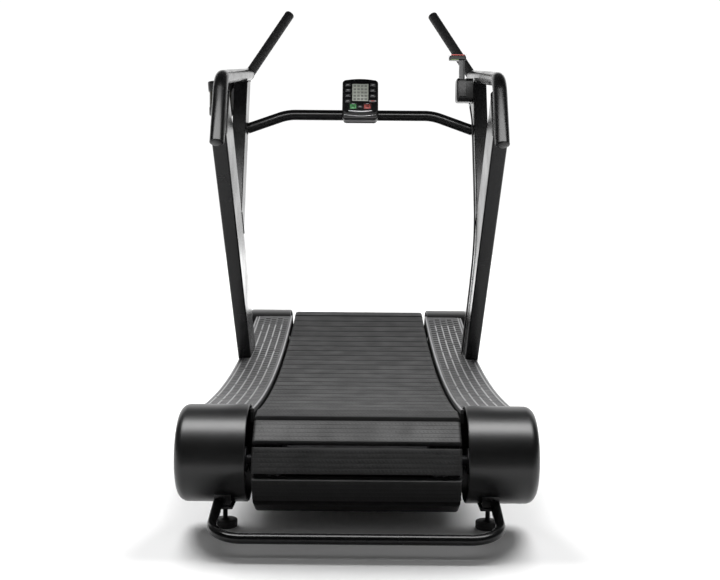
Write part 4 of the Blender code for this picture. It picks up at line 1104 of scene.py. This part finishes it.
def lever():
    """The lever's rounded housing with its slot lips, and the arm with its cross plate."""
    x, y, z = (Vector(JOINTS["resistance_lever"]["pos_m"]) - SHIFT)
    z0, z1, half_y, x0, x1 = z - 0.038, z + 0.034, 0.030, x - 0.0175, x + 0.0327
    middle = Vector((y, (z0 + z1) / 2))
    half_z = (z1 - z0) / 2
    outline = [(y + u, middle.y + v) for u, v in rounded_rectangle(half_y, -half_z, half_z, 0.013, 8)]
    rings = []
    for at, inset in [(x0 + depth, inset) for depth, inset in rounding(0.006)] + [(x - 0.0102, 0.0)]:
        scale = 1 - inset / half_y
        rings.append([(at, *(middle + (Vector(point) - middle) * scale)) for point in outline])
    shell = Solid().loft(rings)
    shell.loft([[(at, *point) for point in outline] for at in (x + 0.0102, x1)])
    low_part = [(a, min(b, z - 0.0225)) for a, b in outline]
    shell.loft([[(at, *point) for point in low_part] for at in (x - 0.0104, x + 0.0104)])
    for edge in (-1, 1):
        wall = [(y + edge * u, v) for u, v in (
            (0.0262, z0 + 0.012), (half_y, z0 + 0.012), (half_y, z1 - 0.013), (0.0285, z1 - 0.006),
            (0.0262, z1 - 0.004))]
        shell.prism(wall, x - 0.0104, x + 0.0104)
    piece("lever_housing_shell", shell, "housing", ("lever_housing",), bevel=0.0012, segments=3)
    lever_arm(x, y, z)


def lever_arm(x, y, z):
    """The arm on its hub, with a dark strip of painted shade along its rear face, and a cross plate that has a red
    top and bright ends.
    """
    barrel = ((-0.0086, 0.0132), (-0.0078, 0.0140), (0.0078, 0.0140), (0.0086, 0.0132))
    hub = Solid().turned([(x + u, r) for u, r in barrel], (y, z), 48)
    stem = [(y - 0.009, z), (y + 0.009, z), (y + 0.0075, z + 0.093), (y - 0.0075, z + 0.093)]
    hub.prism(stem, x - 0.0084, x + 0.0084)
    piece("lever_arm_stem", hub, "lever", ("lever_arm",), body="lever", bevel=0.0016)
    # A dark strip along the arm's rear face: painted shade.
    shade = Solid().prism([(y - 0.0096, z + 0.030), (y - 0.0088, z + 0.030), (y - 0.0074, z + 0.092),
                           (y - 0.0082, z + 0.092)], x + 0.0022, x + 0.0084)
    piece("lever_arm_shade_strip", shade, "housing", body="lever")
    plate = Solid().box((x - 0.040, y - 0.012, z + 0.090), (x + 0.012, y + 0.012, z + 0.1045))
    piece("lever_plate", plate, "housing", body="lever", bevel=0.0030, segments=4)
    top = Solid().box((x - 0.0365, y - 0.0105, z + 0.1035), (x + 0.0085, y + 0.0105, z + 0.1078))
    piece("lever_plate_top", top, "red", body="lever", bevel=0.0016)
    ends = Solid()
    for a, b in ((x - 0.0405, x - 0.0345), (x + 0.0065, x + 0.0125)):
        ends.box((a, y - 0.0112, z + 0.0995), (b, y + 0.0112, z + 0.1082))
    piece("lever_plate_ends", ends, "bright", body="lever", bevel=0.0014)
    line = Solid().box((x - 0.0340, y - 0.0126, z + 0.0905), (x - 0.0120, y - 0.0110, z + 0.0925))
    piece("lever_lime_line", line, "lime", body="lever", bevel=0.0005)


def bottle_holder():
    """An open cup of smoky plastic between a dark flared rim and a dark foot ring, on its lug."""
    low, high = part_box("bottle_holder")
    x, y = -0.4275, 0.860
    z0, z1, wall = low.z, high.z, 0.0025
    radius = 0.039
    rim = [(z1 - 0.030, radius - 0.0012), (z1 - 0.022, radius + 0.0002), (z1 - 0.008, radius + 0.0012),
           (z1 - 0.0016, radius + 0.0016), (z1, radius + 0.0008), (z1, radius - 0.0008),
           (z1 - 0.006, radius - 0.0016), (z1 - 0.030, radius - 0.0040)]
    foot = [(z0 + 0.0006, 0.004)] + [(z0 + up, radius - inset) for up, inset in (
        (0.0, 0.0070), (0.0012, 0.0050), (0.004, 0.0028), (0.026, 0.0024), (0.026, 0.0050), (0.005, 0.0056),
        (0.003, 0.0080))] + [(z0 + 0.003, 0.004)]
    cage = Solid().standing(rim, x, y, 64, ring=True).standing(foot, x, y, 64, ring=True)
    lug = [(x + radius - 0.006, y - 0.014), (-BAR_X[1] - 0.0003, y - 0.014),
           (-BAR_X[1] - 0.0003, y + 0.014), (x + radius - 0.006, y + 0.014)]
    cage.loft([[(a, b, z) for a, b in lug] for z in (z0 + 0.020, z1 - 0.020)])
    piece("bottle_holder_rings", cage, "housing", ("bottle_holder",), smooth=50)
    bands = Solid()
    for k in range(4):
        middle = math.radians(45 + 90 * k)
        half = math.radians(26)
        arc = [middle - half + 2 * half * i / 14 for i in range(15)]
        outline = [polar((x, y), radius - 0.0030, a) for a in arc]
        outline += [polar((x, y), radius - 0.0030 - wall, a) for a in reversed(arc)]
        bands.loft([[(a, b, z) for a, b in outline] for z in (z0 + 0.022, z1 - 0.024)])
    piece("bottle_holder_bands", bands, "smoke", smooth=40)


def cable():
    """The brake cable down the right strut and forward under the rail, with a ferrule at each end."""
    inside, under = 0.3415, 0.3405
    route = [(0.3370, 0.866, 1.0990), (0.3390, 0.857, 1.078), (inside, 0.836, 1.045), (inside, 0.811, 1.000),
             (inside, 0.785, 0.930), (inside, 0.752, 0.840), (inside, 0.728, 0.750), (inside, 0.738, 0.670),
             (inside, 0.785, 0.590), (inside, 0.862, 0.500), (inside, 0.953, 0.400), (inside, 1.017, 0.330),
             (inside, 1.055, 0.298), (under, *deck_point(1.110, -0.032)), (under, *deck_point(1.200, -0.032)),
             (under, *deck_point(1.320, -0.036)), (0.3380, *deck_point(1.420, -0.045)),
             (0.3380, *deck_point(1.470, -0.045)), (0.3380, 1.490, 0.343)]
    path = smooth_path(route, 6)
    piece("brake_cable_sheath", Solid().tube(path, 0.0025, 14), "grip", ("brake_cable",), smooth=60)
    ferrules = Solid()
    for a, b in ((path[0], path[3]), (path[-1], path[-4])):
        ferrules.tube([a, a.lerp(b, 0.8), b], [0.0032, 0.0032, 0.0027], 16)
    piece("brake_cable_ferrules", ferrules, "zinc", smooth=40)


# ---------------------------------------------------------------- CAD pieces that stay


def kept_nodes():
    """Frame and running gear whose CAD shape is right: a finish, welded corners and rounded edges."""
    kept = {"powder": ("side_beam_left", "side_beam_right", "cross_member_rear", "cross_member_middle",
                       "cross_member_front", "front_stand"),
            "dark_steel": ("rear_drum", "front_drum", "rear_bearing_left", "rear_bearing_right"),
            "zinc": ("front_bearing_left", "front_bearing_right", "roller_track_left", "roller_track_right",
                     "one_way_bearing", "magnet_carrier"),
            "aluminium": ("brake_disc",)}
    for finish, names in kept.items():
        for name in names:
            node = frame["nodes"][name]
            node.data.materials.clear()
            node.data.materials.append(FINISH[finish])
            weld = node.modifiers.new("joined_corners", "WELD")
            weld.merge_threshold = 0.00005
            soften(node, 0.0012 if finish == "powder" else 0.0005, 2)


# ---------------------------------------------------------------- stage


FLOOR_REACH = 40.0
CAMERA_SPOT = (0.004, -2.240, 0.684)
CAMERA_TILT = math.radians(90 - 3.0)
CAMERA_ROLL = math.radians(0.47)
CARD_LOW, CARD_HIGH, CARD_Z = (-6.0, -7.0), (6.0, -1.25), 0.002


def card(name, low, high, z, finish):
    """A flat rectangle at one height that is part of the stage."""
    mesh = bpy.data.meshes.new(name)
    corners = [(low[0], low[1], z), (high[0], low[1], z), (high[0], high[1], z), (low[0], high[1], z)]
    mesh.from_pydata(corners, [], [(0, 1, 2, 3)])
    mesh.materials.append(finish)
    made = placed(name, mesh)
    return made


def stage():
    """A plain pale floor, two suns, two lights for reflections, and the camera at the photograph's angle."""
    pale = surface("floor_finish", grey(0.90), 0.65, 200.0, 0.02, 0.01, patch=1.5)
    card("floor", (-FLOOR_REACH, -FLOOR_REACH), (FLOOR_REACH, FLOOR_REACH), 0.0, pale)
    for label, side in each_side():
        sun(f"{label}_key", (0.42 * side, 1.0, 0.92), 3.9, 24.0)
    soft_light("overhead_softbox", (0.0, -0.24, 1.5), (0.0, -0.24, 0.3), (2.6, 0.62), 63.0)
    soft_light("back_wall", (0.0, 5.0, 1.8), (0.0, 0.0, 0.8), (12.0, 5.0), 215.0)
    flag()
    surround()
    lens = bpy.data.cameras.new("camera")
    lens.lens = 50.0
    lens.sensor_width = 36.0
    camera = placed("camera", lens)
    camera.matrix_world = (Matrix.Translation(SHIFT + Vector(CAMERA_SPOT))
                           @ Matrix.Rotation(CAMERA_TILT, 4, "X") @ Matrix.Rotation(CAMERA_ROLL, 4, "Z"))
    bpy.context.scene.camera = camera


def sun(name, towards, strength, spread):
    """A wide sun behind the object: it whitens the floor and throws a soft shadow to the front."""
    light = bpy.data.lights.new(name, "SUN")
    light.energy = strength
    light.angle = math.radians(spread)
    made = placed(name, light)
    made.rotation_euler = (-Vector(towards)).to_track_quat("-Z", "Y").to_euler()
    made.visible_glossy = False


def soft_light(name, spot, target, size, power):
    """A softbox that is there for its reflection only."""
    light = bpy.data.lights.new(name, "AREA")
    light.shape = "RECTANGLE"
    light.size, light.size_y = size
    light.energy = power
    made = placed(name, light)
    made.location = SHIFT + Vector(spot)
    made.rotation_euler = (Vector(target) - Vector(spot)).to_track_quat("-Z", "Y").to_euler()
    made.visible_diffuse = False
    made.visible_camera = False


def flag():
    """A black card over the floor in front, seen only in reflections, so the lit floor isn't mirrored."""
    black = surface("flag_finish", grey(0.012), 0.90, 200.0, 0.02, 0.18)
    made = card("flag", CARD_LOW, CARD_HIGH, CARD_Z, black)
    for ray in ("camera", "diffuse", "transmission", "shadow"):
        setattr(made, f"visible_{ray}", False)


def surround():
    """A white surround for the camera; in reflections it is bright behind the object and dim in front."""
    world = bpy.data.worlds.new("studio")
    bpy.context.scene.world = world
    world.use_nodes = True
    tree = world.node_tree
    mirrored = tree.nodes["Background"]
    parts = tree.nodes.new("ShaderNodeSeparateXYZ")
    tree.links.new(tree.nodes.new("ShaderNodeTexCoord").outputs["Generated"], parts.inputs["Vector"])
    level = ranged(tree, parts.outputs["Y"], From_Min=-0.45, From_Max=0.55, To_Min=0.07, To_Max=2.5)
    level.node.interpolation_type = "SMOOTHSTEP"
    tree.links.new(level, mirrored.inputs["Strength"])
    white = (1.0, 1.0, 1.0, 1.0)
    ambient = add_node(tree, "Background", Strength=0.16, Color=white)
    seen = add_node(tree, "Background", Strength=1.05, Color=white)
    path = tree.nodes.new("ShaderNodeLightPath")
    choice = mirrored.outputs["Background"]
    for ray, chosen in (("Is Diffuse Ray", ambient), ("Is Camera Ray", seen)):
        mix = tree.nodes.new("ShaderNodeMixShader")
        tree.links.new(path.outputs[ray], mix.inputs["Fac"])
        tree.links.new(choice, mix.inputs[1])
        tree.links.new(chosen.outputs["Background"], mix.inputs[2])
        choice = mix.outputs["Shader"]
    tree.links.new(choice, tree.nodes["World Output"].inputs["Surface"])
    bpy.context.scene.view_settings.view_transform = "Standard"


def build():
    belt()
    foot_rails()
    covers()
    uprights()
    handrails()
    grips()
    crossbar()
    belt_pan()
    lift_handle()
    feet()
    wheels()
    console()
    keys()
    lever()
    bottle_holder()
    cable()
    kept_nodes()
    stage()


build()
